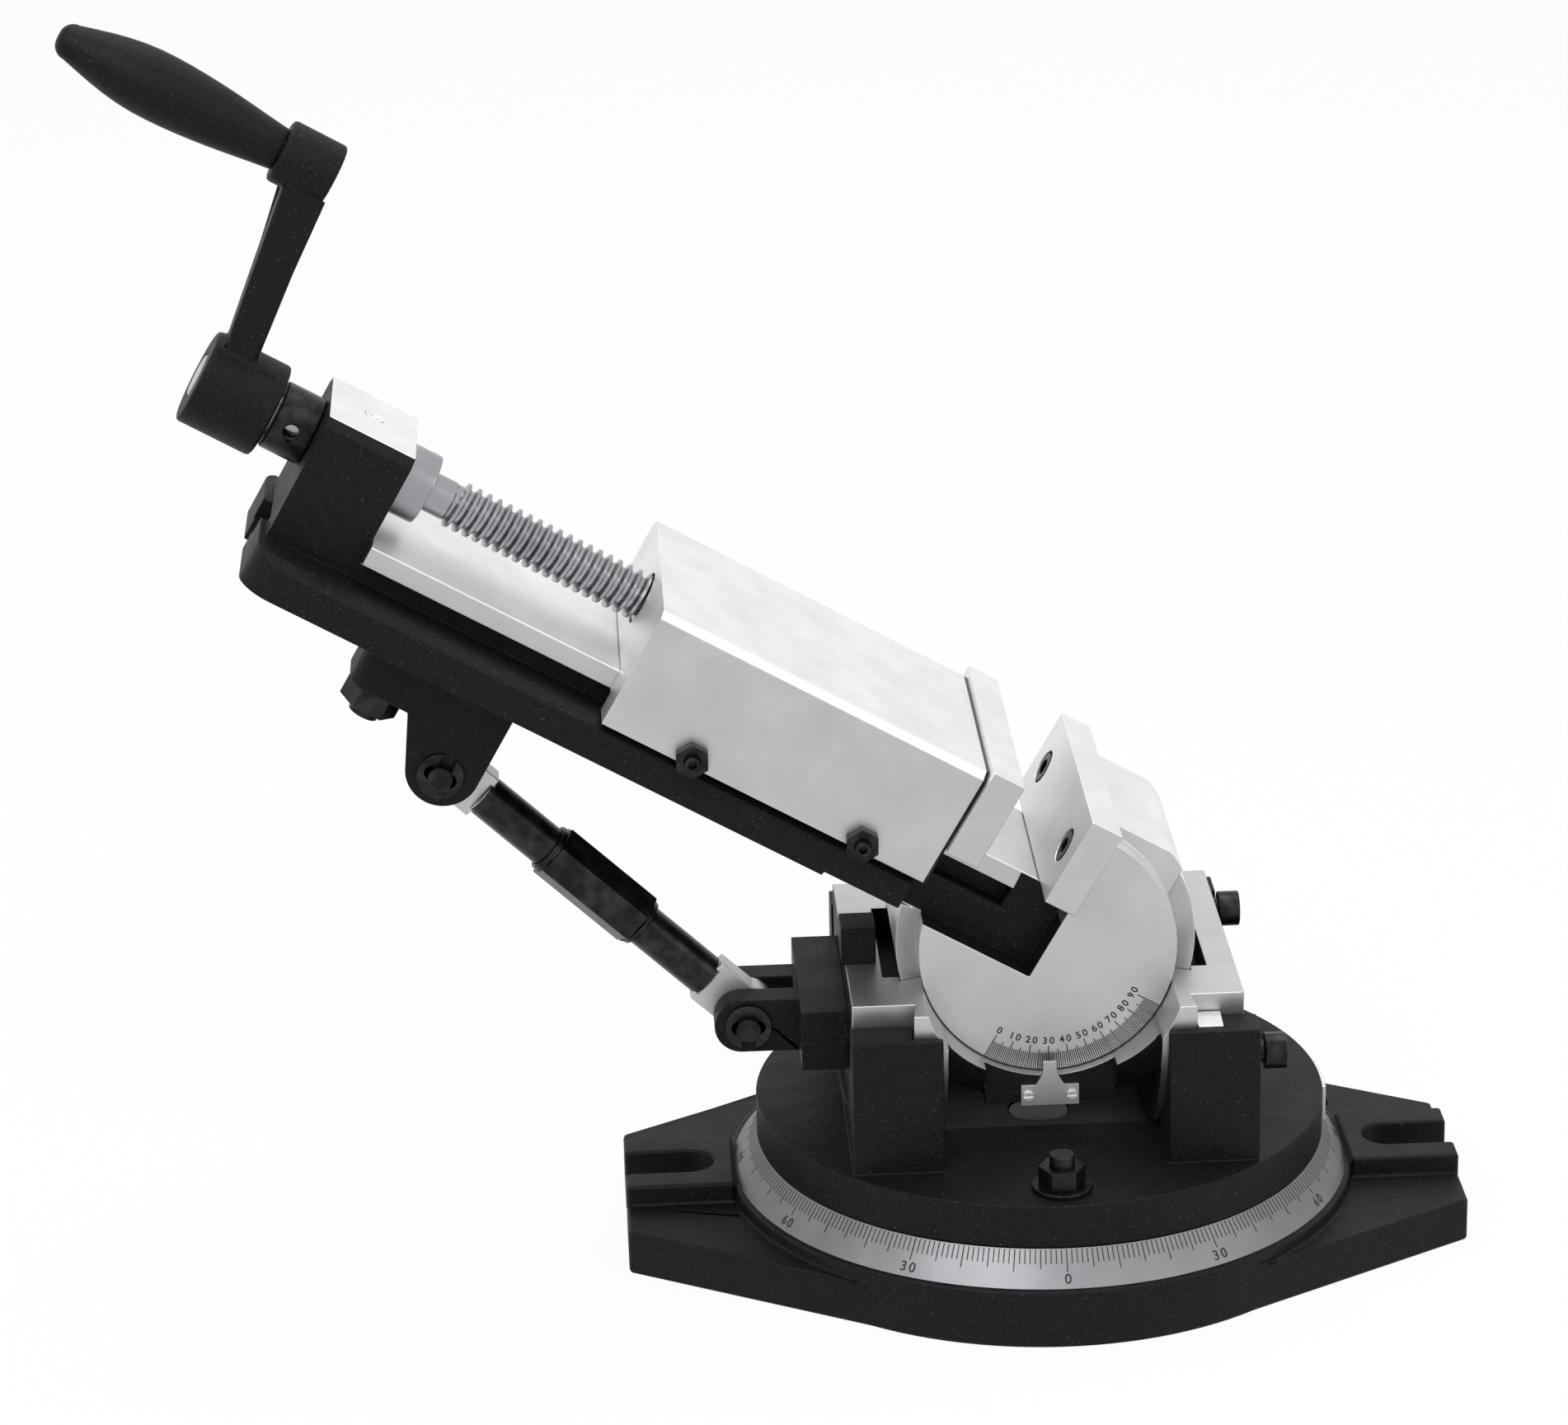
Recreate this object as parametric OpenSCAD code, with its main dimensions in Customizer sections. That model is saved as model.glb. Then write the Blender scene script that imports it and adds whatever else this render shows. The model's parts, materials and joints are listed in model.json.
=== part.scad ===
// Three-axis machine vise: a swivel base, a roll cradle, a tilt drum and a turnbuckle brace carry it.
// x runs to the right, y away from the front and z up, from the centre of the base's underside.
// The vise has its own frame on the drum's axis: u runs along the bed, v across it and w up from it.

/* [Base] */
// Radius of the base's round middle
base_r = 103.5; // [101:0.5:108]
// Length of the base across its two lugs
base_len = 275; // [262:1:300]
// Width of each lug at its end
lug_w = 76; // [60:1:90]
// Height of the wings that carry the lugs
wing_h = 15; // [12:0.5:18]
// Height of the rim round the scale ring
rim_h = 19.7; // [18.5:0.1:22]
// Height of the base's flat top
base_h = 30; // [28:0.5:33]
// Height of the raised pads round the bolt slots
pad_h = 22; // [19:0.5:26]
// Width of the raised pads
pad_w = 38; // [30:1:44]
// Width of the open bolt slots
bolt_slot_w = 16; // [12:0.5:20]
// Length of a bolt slot from the lug's end to its round inner end
bolt_slot_len = 29.2; // [20:0.1:32]

/* [Swivel] */
// Radial width of the scale ring's sloping face
ring_face_w = 8.6; // [7:0.2:9]
// Thickness of the turntable's plate
table_t = 14.4; // [13:0.2:17]
// Thread diameter of the two swivel clamp bolts
swivel_bolt_d = 8; // [6:0.5:9]
// Distance of those bolts inside the turntable's edge
swivel_bolt_inset = 13.4; // [12.4:0.2:15]
// Diameter of the centre pin
centre_pin_d = 20; // [14:1:24]

/* [Roll cradle] */
// Height of the roll axis above the base's underside
roll_h = 98; // [96:0.5:101]
// Radius of the cradle's half-round side flanges
roll_r = 52; // [50:0.5:54]
// Depth of the dovetail tongue below the flanges
tongue_d = 10; // [9.5:0.5:11]
// Width across the dovetail tongues at their necks
tongue_w = 88; // [85:0.5:92]
// Length of the cradle along the roll axis
cradle_len = 125.5; // [122:0.5:128]
// Distance of the cradle's left face from the swivel axis
cradle_left = 64.3; // [62:0.1:65]
// Width over the turntable's two walls
walls_w = 130; // [127:0.5:131]
// Clear width between the two walls
walls_gap = 72; // [66:1:76]
// Length of the walls, front to back
walls_len = 130; // [124:1:131]
// Height of the walls' top faces
walls_h = 90; // [86:0.5:92]
// Thread diameter of the two clamp screws
clamp_d = 7; // [6:0.5:8]

/* [Tilt drum] */
// Place of the drum's axis along x
drum_x = -0.5; // [-2:0.5:1]
// Height of the drum's axis above the roll axis
drum_rise = 12; // [11:0.5:14]
// Tilt of the vise, its jaw end down
tilt = 30; // [20:1:38]
// Radius of the drum's discs
drum_r = 41.5; // [40:0.1:42]
// Width over the drum's two faces
drum_w = 82.4; // [80:0.2:84]
// Height of the drum's dovetail flange above its discs
drum_flange_d = 6.8; // [6:0.1:7.2]
// Width across the drum's dovetail flange at its neck
drum_flange_w = 58; // [54:0.5:60]

/* [Jaws] */
// Width of the jaw plates
jaw_w = 100; // [94:1:110]
// Height of the jaw plates
jaw_h = 30.7; // [26:0.1:34]
// Thickness of the jaw plates
jaw_t = 11; // [9:0.5:12]
// Opening between the jaw plates
jaw_open = 24.6; // [1:0.2:80]
// Length of the fixed jaw's block behind its plate
fixed_len = 28; // [24:0.5:30]
// Length of the moving block behind its plate
block_len = 116.4; // [108:0.2:120]
// Width of the moving block
block_w = 93.2; // [88:0.2:96]
// Thread diameter of the jaw plates' screws
plate_screw_d = 6; // [5:0.5:7]

/* [Bed] */
// Length of the bed from the drum's axis to its rear end
bed_len = 283.8; // [280:0.2:298]
// Width of the bed
bed_w = 84; // [80:1:88]
// Height of the bed's top above the drum's axis
bed_top = 2.7; // [2.2:0.1:3.6]
// Depth of the bed's underside below the drum's axis
bed_low = 10.8; // [9:0.1:12]
// Width of the T-shaped rail
rail_w = 60; // [56:1:62]
// Width of the rail's neck
rail_neck_w = 48; // [44:1:50]
// Height of the rail's top above the drum's axis
rail_top = 16.4; // [15:0.2:18]
// Thickness of the rail's flange
rail_t = 6.7; // [5.5:0.1:7]

/* [Screw and crank] */
// Height of the lead screw's axis above the drum's axis
screw_h = 32.2; // [31.2:0.2:33]
// Thread diameter of the lead screw
screw_d = 16; // [14:0.5:18]
// Pitch of the lead screw, a left-hand thread
screw_pitch = 3.6; // [3:0.1:4.5]
// Length of the bearing block along the bed
bearing_len = 30; // [24:0.5:34]
// Width of the bearing block
bearing_w = 48; // [40:1:56]
// Height of the bearing block's top above the drum's axis
bearing_top = 45.9; // [44:0.1:49]
// Throw of the crank, from the screw's axis to the grip's
crank_throw = 76.6; // [60:0.2:90]
// Length of the crank's grip
grip_len = 75.5; // [60:0.5:85]
// Largest diameter of the grip
grip_d = 21.5; // [18:0.5:24]

/* [Brace] */
// Diameter of the turnbuckle's rods
rod_d = 14; // [12:0.5:15]
// Width across the flats of the turnbuckle's hexagon sleeve
sleeve_af = 17; // [16.5:0.5:20]
// Length of the sleeve
sleeve_len = 41; // [38:0.5:46]
// Diameter of the two brace pins
brace_pin_d = 8; // [6:0.5:9]
// Distance of the lower pin beyond the cradle's left face
lower_pin_out = 31.7; // [29:0.1:34]
// Depth of the lower pin below the roll axis
lower_pin_drop = 22; // [18:0.5:24]
// Distance of the upper pin from the bed's rear end
upper_pin_in = 89; // [80:1:96]
// Depth of the upper pin below the drum's axis
upper_pin_drop = 46.3; // [45:0.1:50]

/* [Fits] */
// Gap between pieces that slide or roll on each other
slide_gap = 0.3; // [0.25:0.05:0.4]
// Radial gap of a shaft in its hole
run_gap = 0.05; // [0.02:0.01:0.08]

/* [Hidden] */
$fn = 64;

// Overrun of every cut, and the gap round a fastener in its hole
cut = 1;
hole_gap = 0.1;
// Fastener proportions, as shares of the thread's diameter
head_d_share = 1.667;
head_h_share = 1;
socket_share = 0.833;
socket_d_share = 0.5;
nut_af_share = 1.65;
nut_h_share = 0.8;
washer_share = 2.42;

// Base
lug_x = base_len / 2;
lug_hw = lug_w / 2;
ring_land = 1.9;
ring_out_r = base_r - ring_land;
ring_top_r = ring_out_r - ring_face_w;
ring_seat_w = 3;
ring_in_r = ring_top_r - ring_seat_w;
wing_set = 0.5;
lug_tangent_r = base_r - wing_set;
lug_tangent_a = atan2(lug_hw, lug_x) + acos(lug_tangent_r / norm([lug_x, lug_hw]));
lug_tangent = lug_tangent_r * [cos(lug_tangent_a), sin(lug_tangent_a)];

// Swivel
table_z = base_h + slide_gap;
table_top = table_z + table_t;
table_lip = 0.5;
table_r = ring_top_r + table_lip;
swivel_r = table_r - swivel_bolt_inset;
swivel_mouth_w = swivel_bolt_d + 2 * hole_gap;
swivel_head_w = swivel_bolt_d * nut_af_share;
swivel_t_side = 1;
swivel_t_w = swivel_head_w + 2 * swivel_t_side;
swivel_t_h = 8;
swivel_mouth_h = 8;
swivel_head_h = 6;
swivel_head_z = base_h - swivel_mouth_h - swivel_head_h - slide_gap;
swivel_entry_share = 0.74;
swivel_entry_r = swivel_head_w * swivel_entry_share;
swivel_washer_t = 1.6;
swivel_nut_h = swivel_bolt_d * nut_h_share;
swivel_bolt_over = 4;
centre_pin_r = centre_pin_d / 2;
centre_pin_z = 8;
index_t = 1.2;
index_h = 12;
index_a = [-5, 8];
index_screw_a = 1.8;
index_r = table_r + hole_gap;
index_z = table_z + (table_t - index_h) / 2;
index_screw_r = 2;
index_screw_h = 0.9;

// Roll cradle, with the turntable's groove round it
tongue_r = roll_r + tongue_d;
tongue_hw = tongue_w / 2;
tongue_slope_share = 0.12;
tongue_slope = tongue_slope_share * tongue_d;
rail_in_x = 34;
flank_gap_share = 1.17;
flank_gap = slide_gap * flank_gap_share;
walls_hw = walls_w / 2;
gib_w = 8;
roll_seat_x = tongue_hw + tongue_slope + gib_w + 2 * slide_gap;
roll_gib_a = 83;
cradle_right = cradle_len - cradle_left;
cradle_top = roll_h - slide_gap;
bowl_r = roll_r;
bowl_front_d = 5;
bowl_skin = 0.5;
bowl_step_x = 38;
clamp_r = clamp_d / 2;
roll_clamp_a = 21;
roll_clamp_in = 5;
roll_clamp_y = -(tongue_r - roll_clamp_in) * cos(roll_clamp_a);
roll_clamp_z = roll_h - (tongue_r - roll_clamp_in) * sin(roll_clamp_a);
roll_clamp_neck = 2.5;

// Tilt drum, with the cradle's bore round it
drum_h = roll_h + drum_rise;
drum_bore_r = drum_r + slide_gap;
drum_flange_r = drum_r + drum_flange_d;
drum_groove_r = drum_flange_r + slide_gap;
drum_hw = drum_w / 2;
flange_hw = drum_flange_w / 2;
flange_slope_share = 0.44;
flange_slope = flange_slope_share * drum_flange_d;
tilt_gib_w = 4.7;
tilt_seat_y = flange_hw + flange_slope + tilt_gib_w + 2 * slide_gap;
tilt_gib_a = 72;
tilt_clamp_in = 2.8;
tilt_clamp_y = tilt_seat_y - tilt_clamp_in;
tilt_clamp_share = 0.4;
tilt_clamp_z = drum_h - drum_flange_r * tilt_clamp_share;
tilt_clamp_bite = 2.2;
tilt_clamp_tip = drum_x + drum_flange_r - tilt_clamp_bite;
tilt_clamp_neck = 2.3;
drum_relief_r = 52.3;
drum_relief_y = flange_hw;
drum_relief_h = 10;

// Pointer on the cradle's front
pointer_boss_hw = 21;
pointer_boss_y = [-45, -20];
pointer_t = 1.5;
pointer_hw = 9.35;
pointer_drop = 9.9;
pointer_base_z = drum_h - drum_bore_r - pointer_drop;
pointer_boss_in = [0.5, 1.5];
pointer_boss_z = [pointer_base_z + pointer_boss_in[0], drum_h - drum_bore_r - pointer_boss_in[1]];
pointer_bar_h = 7.1;
pointer_tip_in = 4.9;
pointer_tip_z = drum_h - drum_r + pointer_tip_in;
pointer_neck_hw = 4.6;
pointer_tip_hw = 2.2;
pointer_tip_h = 4;
pointer_screw_x = 7.05;
pointer_screw_r = 1.7;
pointer_screw_h = 0.8;
pointer_front = pointer_boss_y[0] - pointer_t;

// Stop block on the cradle's left shoulder
stop_out = 1.2;
stop_len = 11.3;
stop_x = [-cradle_left - stop_out, -cradle_left - stop_out + stop_len];
stop_y = [-17.9, -3.3];
stop_h = 12.3;

// Vise frame: heights on the bed and the rail
rail_hw = rail_w / 2;
rail_neck_hw = rail_neck_w / 2;
rail_low = rail_top - rail_t;
rail_end = -17.8;
bed_hw = bed_w / 2;
bed_chamfer_v = 4;
bed_chamfer_w = 3;
bed_front = 49.8;
bed_corner_r = 11;
bed_relief = 1.3;
bed_relief_u = 76.8;
stop_pocket_u = [-67.8, -47.8];
stop_pocket_v = [-22, -1];
stop_pocket_h = 14.5;

// Jaws
fixed_face_u = -0.8;
fixed_tail_u = fixed_face_u + fixed_len;
fixed_hw = flange_hw + flange_slope;
fixed_proud = 1.3;
fixed_r = drum_flange_r + fixed_proud;
fixed_relief_r = 1.2;
jaw_low = rail_top + slide_gap;
jaw_top = jaw_low + jaw_h;
jaw_step = 2.4;
fixed_top = jaw_top - jaw_step;
jaw_hw = jaw_w / 2;
fixed_plate_u = fixed_face_u - jaw_t;
moving_plate_u = fixed_plate_u - jaw_open - jaw_t;
block_front = moving_plate_u;
block_rear = block_front - block_len;
block_hw = block_w / 2;
block_low = bed_top + 2 * slide_gap;
block_top = jaw_top - jaw_step;
block_chamfer = 2.5;
channel_hw = rail_hw + slide_gap;
keeper_drop = 0.1;
keeper_w = [block_low + keeper_drop, rail_low - slide_gap];
keeper_out = 3.2;
keeper_v = [rail_neck_hw + slide_gap, channel_hw + keeper_out];
keeper_inset = 2;
keeper_u = [block_rear + keeper_inset, block_front - keeper_inset];
keeper_screw_in = [30.5, 24.8];
keeper_screw_u = [block_rear + keeper_screw_in[0], block_front - keeper_screw_in[1]];
keeper_screw_w = (keeper_w[0] + keeper_w[1]) / 2;
keeper_screw_r = 2.5;
keeper_nut_af = 10;
keeper_nut_t = 4;
keeper_screw_over = 7;
keeper_socket_d = 2.5;
plate_screw_share = 0.35;
plate_screw_v = jaw_w * plate_screw_share;
plate_screw_w = jaw_low + jaw_h / 2;
plate_screw_r = plate_screw_d / 2;
plate_screw_len = 12;
plate_head_r = plate_screw_r * head_d_share;
plate_head_h = plate_screw_d * head_h_share;
plate_bore_gap = 0.8;
plate_bore_r = plate_head_r + plate_bore_gap;

// Lead screw
screw_r = screw_d / 2;
crest_shares = [0.14, 0.36];
root_r = screw_r - screw_pitch / 2;
journal_in = 1;
journal_r = screw_r - journal_in;
neck_in = 1.5;
neck_r = screw_r - neck_in;
collar_len = 10.2;
collar_out = [3.7, 3.3];
front_collar_r = screw_r + collar_out[0];
rear_collar_r = screw_r + collar_out[1];
rear_collar_len = 13.2;
collar_screw_r = 2.5;
bearing_inset = 2.5;
bearing_rear = -bed_len + bearing_inset;
bearing_front = bearing_rear + bearing_len;
bearing_hw = bearing_w / 2;
bearing_chamfer = 3;
front_collar_u = bearing_front + slide_gap;
rear_collar_u = bearing_rear - slide_gap - rear_collar_len;
neck_len = 8;
thread_start = front_collar_u + collar_len + neck_len;
thread_in = 47;
thread_end = block_rear + thread_in;
thread_count = floor((thread_end - thread_start) / screw_pitch) - 1;
nut_len = 20;
nut_wall = 3;
nut_r = screw_r + nut_wall;
nut_in = 8;
block_bore_gap = 0.8;
block_bore_r = screw_r + block_bore_gap;
oil_r = 3.2;
oil_ball_r = 1.6;
oil_depth = 6;

// Crank and grip
hub_len = 25.5;
hub_gap = 1.2;
hub_r = 15.5;
hub_u = rear_collar_u - hub_gap - hub_len;
boss_r = 10.3;
boss_len = 18.5;
boss_out = 10;
boss_u = hub_u - boss_out;
arm_t = [10.4, 13];
arm_hw = 8;
arm_in = [5, 4.3];
arm_low_u = hub_u + arm_in[0];
arm_top_u = boss_u + arm_in[1];
grip_axis = screw_h + crank_throw;
spindle_r = 3.5;
spindle_in = 60;
grip_end_u = boss_u - slide_gap;
grip_neck_share = 0.32;
grip_neck_r = grip_d * grip_neck_share;
grip_tip_share = 0.27;
grip_tip_r = grip_d * grip_tip_share;
grip_mid_share = 0.6;
grip_swell_share = 1.1;
grip_round_share = 0.8;
grip_round = grip_tip_r * grip_round_share;
grip_steps = 14;

// Brace pins in the world's x and z, and the line between them
lower_pin = [-cradle_left - lower_pin_out, roll_h - lower_pin_drop];
upper_pin_u = -bed_len + upper_pin_in;
upper_pin = [drum_x + upper_pin_u * cos(tilt) - upper_pin_drop * sin(tilt),
    drum_h - upper_pin_u * sin(tilt) - upper_pin_drop * cos(tilt)];
brace_len = norm(upper_pin - lower_pin);
brace_a = atan2(upper_pin[0] - lower_pin[0], upper_pin[1] - lower_pin[1]);
rod_r = rod_d / 2;
blade_t = 8.7;
blade_out = 1;
blade_hw = rod_r + blade_out;
blade_len = 18;
eye_r = 9.5;
brace_pin_r = brace_pin_d / 2;
sleeve_z = (brace_len - sleeve_len) / 2;
sleeve_neck_in = 0.2;
sleeve_neck_r = sleeve_af / 2 - sleeve_neck_in;
sleeve_neck_len = 2;
lower_in = 7.5;
upper_in = 18;
ear_r = 9;
ear_tip = 2;
ear_hw = 15;
ear_slot = blade_t + 2 * slide_gap;
clip_share = 0.95;
clip_r = brace_pin_d * clip_share;
clip_t = 1;
clip_gap = 0.2;
clip_groove_d = 1;
clip_groove_r = brace_pin_r - clip_groove_d;
clip_mouth_share = 1.5;
clip_mouth = clip_groove_r * clip_mouth_share;
clip_lobe_shares = [0.8, 0.55];
pin_over = 4;
ear_reach = 10.6;

// Brace foot on the cradle's left face
foot_t = 15.2;
foot_hw = 32;
foot_out = [8.8, 11.4];
foot_z = [lower_pin[1] - foot_out[0], lower_pin[1] + foot_out[1]];
foot_x = -cradle_left - foot_t;
foot_screw_y = 23;
foot_screw_r = 3;
foot_screw_len = 24;
foot_screw_z = (foot_z[0] + foot_z[1]) / 2;
foot_head_r = foot_screw_r * head_d_share;
foot_head_h = 6;

// Brace bracket under the bed, with its T-bolt
bracket_out = [40, 12];
bracket_u = [upper_pin_u - bracket_out[0], upper_pin_u + bracket_out[1]];
bracket_gap = 0.5;
bracket_h = 21;
bracket_w = [-bed_low - bracket_gap - bracket_h, -bed_low - bracket_gap];
bracket_corner_r = 8;
bracket_ear_r = 12.1;
bracket_ear_up = 1.8;
bracket_ear_out = 19;
bracket_bolt_in = 29.5;
bracket_bolt_u = upper_pin_u - bracket_bolt_in;
bracket_bolt_r = 5;
t_mouth_hw = bracket_bolt_r + slide_gap;
t_mouth_h = 7;
t_space_hw = 9;
t_space_h = 8;
t_slot_len = 121;
t_head_hw = 8;
t_head_in = 1.5;
t_head_h = 5.5;
t_head_w = [t_mouth_h - bed_low + t_head_in, t_mouth_h - bed_low + t_head_in + t_head_h];
bracket_nut_share = 1.7;
bracket_nut_af = 2 * bracket_bolt_r * bracket_nut_share;
bracket_nut_t = 8.5;
bracket_bolt_over = 3;

// Puts a shape that stands along z onto x or onto y
module along_x() {
    rotate([0, 90, 0]) children();
}
module along_y() {
    rotate([-90, 0, 0]) children();
}
// Places a shape in the frame of the vise, of the roll axis, of the drum's axis or of the brace
module in_vise() {
    translate([drum_x, 0, drum_h]) rotate([0, tilt, 0]) children();
}
module at_roll() {
    translate([0, 0, roll_h]) along_x() children();
}
module at_drum() {
    translate([drum_x, 0, drum_h]) along_y() children();
}
module in_brace() {
    translate([lower_pin[0], 0, lower_pin[1]]) rotate([0, brace_a, 0]) children();
}
module mirrored_y() {
    children();
    mirror([0, 1, 0]) children();
}
module block(low, high) {
    translate(low) cube(high - low);
}
// What rounds off the two corners at x = 0 of a block that is hw wide each way
module round_corners(r, hw, h) {
    mirrored_y() difference() {
        translate([-cut, hw - r, 0]) cube([r + cut, r + cut, h]);
        translate([r, hw - r, -cut]) cylinder(r = r, h = h + 2 * cut);
    }
}
module hex(af, h) {
    cylinder(d = af / cos(30), h = h, $fn = 6);
}
// Socket head screw that points down from its head's seat at z = 0
module socket_screw(r, len, head_r, head_h) {
    difference() {
        union() {
            cylinder(r = head_r, h = head_h);
            translate([0, 0, -len]) cylinder(r = r, h = len);
        }
        translate([0, 0, head_h - r * 2 * socket_d_share]) hex(r * 2 * socket_share, r * 2);
    }
}
module pan_screw(r, h) {
    difference() {
        cylinder(r = r, h = h);
        translate([-r, -r / 6, h / 2]) cube([2 * r, r / 3, h]);
    }
}
// Ring round z whose section is given as points of radius and height
module turned(points) {
    rotate_extrude() polygon(points);
}

// Base
module wing_outline() {
    polygon([[lug_x, lug_hw], lug_tangent, [-lug_tangent[0], lug_tangent[1]], [-lug_x, lug_hw],
        [-lug_x, -lug_hw], -lug_tangent, [lug_tangent[0], -lug_tangent[1]], [lug_x, -lug_hw]]);
}
module bolt_slot() {
    translate([lug_x - bolt_slot_len + bolt_slot_w / 2, 0, -cut]) {
        cylinder(d = bolt_slot_w, h = pad_h + 2 * cut);
        translate([0, -bolt_slot_w / 2, 0]) cube([bolt_slot_len, bolt_slot_w, pad_h + 2 * cut]);
    }
}
module base_casting() {
    color("#2b2c2e")
    difference() {
        union() {
            linear_extrude(wing_h) wing_outline();
            turned([[0, 0], [base_r, 0], [base_r, rim_h], [ring_in_r - hole_gap, rim_h],
                [ring_in_r - hole_gap, base_h], [0, base_h]]);
            for (side = [-1, 1]) translate([side * lug_x, 0, 0]) mirror([side > 0 ? 1 : 0, 0, 0])
                block([0, -pad_w / 2, 0], [lug_x - ring_out_r - slide_gap, pad_w / 2, pad_h]);
        }
        bolt_slot();
        mirror([1, 0, 0]) bolt_slot();
        turned([[swivel_r - swivel_t_w / 2, base_h - swivel_mouth_h - swivel_t_h],
            [swivel_r + swivel_t_w / 2, base_h - swivel_mouth_h - swivel_t_h],
            [swivel_r + swivel_t_w / 2, base_h - swivel_mouth_h],
            [swivel_r + swivel_mouth_w / 2, base_h - swivel_mouth_h],
            [swivel_r + swivel_mouth_w / 2, base_h + cut],
            [swivel_r - swivel_mouth_w / 2, base_h + cut],
            [swivel_r - swivel_mouth_w / 2, base_h - swivel_mouth_h],
            [swivel_r - swivel_t_w / 2, base_h - swivel_mouth_h]]);
        rotate([0, 0, 45]) translate([swivel_r, 0, base_h - swivel_mouth_h - swivel_t_h])
            cylinder(r = swivel_entry_r, h = base_h);
        translate([0, 0, centre_pin_z]) cylinder(r = centre_pin_r + run_gap, h = base_h);
    }
}
module scale_ring() {
    color("silver")
    turned([[ring_in_r, rim_h], [ring_out_r, rim_h], [ring_top_r, base_h], [ring_in_r, base_h]]);
}
module centre_pin() {
    color("silver")
    translate([0, 0, centre_pin_z])
        cylinder(r = centre_pin_r, h = roll_h - tongue_r - 2 * slide_gap - centre_pin_z);
}

// Turntable
module at_swivel_bolts() {
    for (side = [-1, 1]) translate([0, side * swivel_r, 0]) children();
}
module roll_groove() {
    at_roll() turned([[0, -walls_w], [roll_r + slide_gap, -walls_w],
        [roll_r + slide_gap, -tongue_hw - flank_gap],
        [tongue_r + slide_gap, -tongue_hw - tongue_slope - flank_gap],
        [tongue_r + slide_gap, roll_seat_x], [roll_r + slide_gap, roll_seat_x],
        [roll_r + slide_gap, walls_w], [0, walls_w]]);
}
module turntable() {
    color("#2b2c2e")
    difference() {
        union() {
            translate([0, 0, table_z]) cylinder(r = table_r, h = table_t);
            for (side = [-1, 1]) translate([side * (walls_hw + walls_gap / 2) / 2, 0, 0])
                block([-(walls_hw - walls_gap / 2) / 2, -walls_len / 2, table_z],
                    [(walls_hw - walls_gap / 2) / 2, walls_len / 2, walls_h]);
        }
        roll_groove();
        cylinder(r = centre_pin_r + run_gap, h = walls_h);
        at_swivel_bolts() cylinder(d = swivel_bolt_d + 2 * hole_gap, h = walls_h);
        translate([0, roll_clamp_y, roll_clamp_z]) along_x()
            cylinder(r = clamp_r + hole_gap, h = walls_w);
    }
}
module swivel_t_bolts() {
    color("#3a3b3d")
    at_swivel_bolts() {
        translate([-swivel_head_w / 2, -swivel_head_w / 2, swivel_head_z])
            cube([swivel_head_w, swivel_head_w, swivel_head_h]);
        translate([0, 0, swivel_head_z]) cylinder(d = swivel_bolt_d,
            h = table_top + swivel_washer_t + swivel_nut_h + swivel_bolt_over - swivel_head_z);
    }
}
module swivel_washers() {
    color("#3a3b3d")
    at_swivel_bolts() translate([0, 0, table_top]) difference() {
        cylinder(d = swivel_bolt_d * washer_share, h = swivel_washer_t);
        translate([0, 0, -cut]) cylinder(d = swivel_bolt_d + 2 * hole_gap, h = swivel_washer_t + 2 * cut);
    }
}
module swivel_nuts() {
    color("#3a3b3d")
    at_swivel_bolts() translate([0, 0, table_top + swivel_washer_t]) difference() {
        hex(swivel_bolt_d * nut_af_share, swivel_nut_h);
        translate([0, 0, -cut]) cylinder(d = swivel_bolt_d + 2 * run_gap, h = swivel_nut_h + 2 * cut);
    }
}
module index_plate() {
    color("silver")
    rotate([0, 0, index_a[0]]) rotate_extrude(angle = index_a[1] - index_a[0])
        translate([index_r, index_z]) square([index_t, index_h]);
}
module index_plate_screws() {
    color("silver")
    for (a = [index_a[0] + index_screw_a, index_a[1] - index_screw_a])
        rotate([0, 0, a]) translate([index_r + index_t, 0, index_z + index_h / 2])
            along_x() pan_screw(index_screw_r, index_screw_h);
}
module roll_gib() {
    color("silver")
    at_roll() rotate([0, 0, -roll_gib_a]) rotate_extrude(angle = 2 * roll_gib_a)
        polygon([[roll_r + 2 * slide_gap, tongue_hw + flank_gap + 2 * slide_gap * tongue_slope / tongue_d],
            [tongue_r, tongue_hw + flank_gap + tongue_slope],
            [tongue_r, roll_seat_x - slide_gap], [roll_r + 2 * slide_gap, roll_seat_x - slide_gap]]);
}
module roll_clamp_screw() {
    color("#2f3032")
    translate([walls_hw + roll_clamp_neck, roll_clamp_y, roll_clamp_z]) along_x()
        socket_screw(clamp_r, walls_hw + roll_clamp_neck - roll_seat_x, clamp_r * head_d_share,
            clamp_d * head_h_share);
}

// Cradle
module cradle_rail(end) {
    at_roll() turned([[0, rail_in_x], [tongue_r, rail_in_x], [tongue_r, tongue_hw + tongue_slope],
        [roll_r, tongue_hw], [roll_r, end], [0, end]]);
}
module cradle_bowl() {
    intersection() {
        at_drum() cylinder(r = bowl_r, h = 2 * tongue_r, center = true);
        at_roll() turned([[0, -cradle_right], [roll_r - bowl_skin, -cradle_right],
            [roll_r - bowl_skin, -bowl_step_x], [roll_r + bowl_front_d, -bowl_step_x],
            [roll_r + bowl_front_d, bowl_step_x], [roll_r - bowl_skin, bowl_step_x],
            [roll_r - bowl_skin, cradle_right], [0, cradle_right]]);
    }
}
module drum_bore() {
    at_drum() {
        cylinder(r = drum_bore_r, h = 3 * tongue_r, center = true);
        turned([[0, -flange_hw - flank_gap], [drum_bore_r, -flange_hw - flank_gap],
            [drum_groove_r, -flange_hw - flange_slope - flank_gap],
            [drum_groove_r, tilt_seat_y], [0, tilt_seat_y]]);
    }
}
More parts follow.
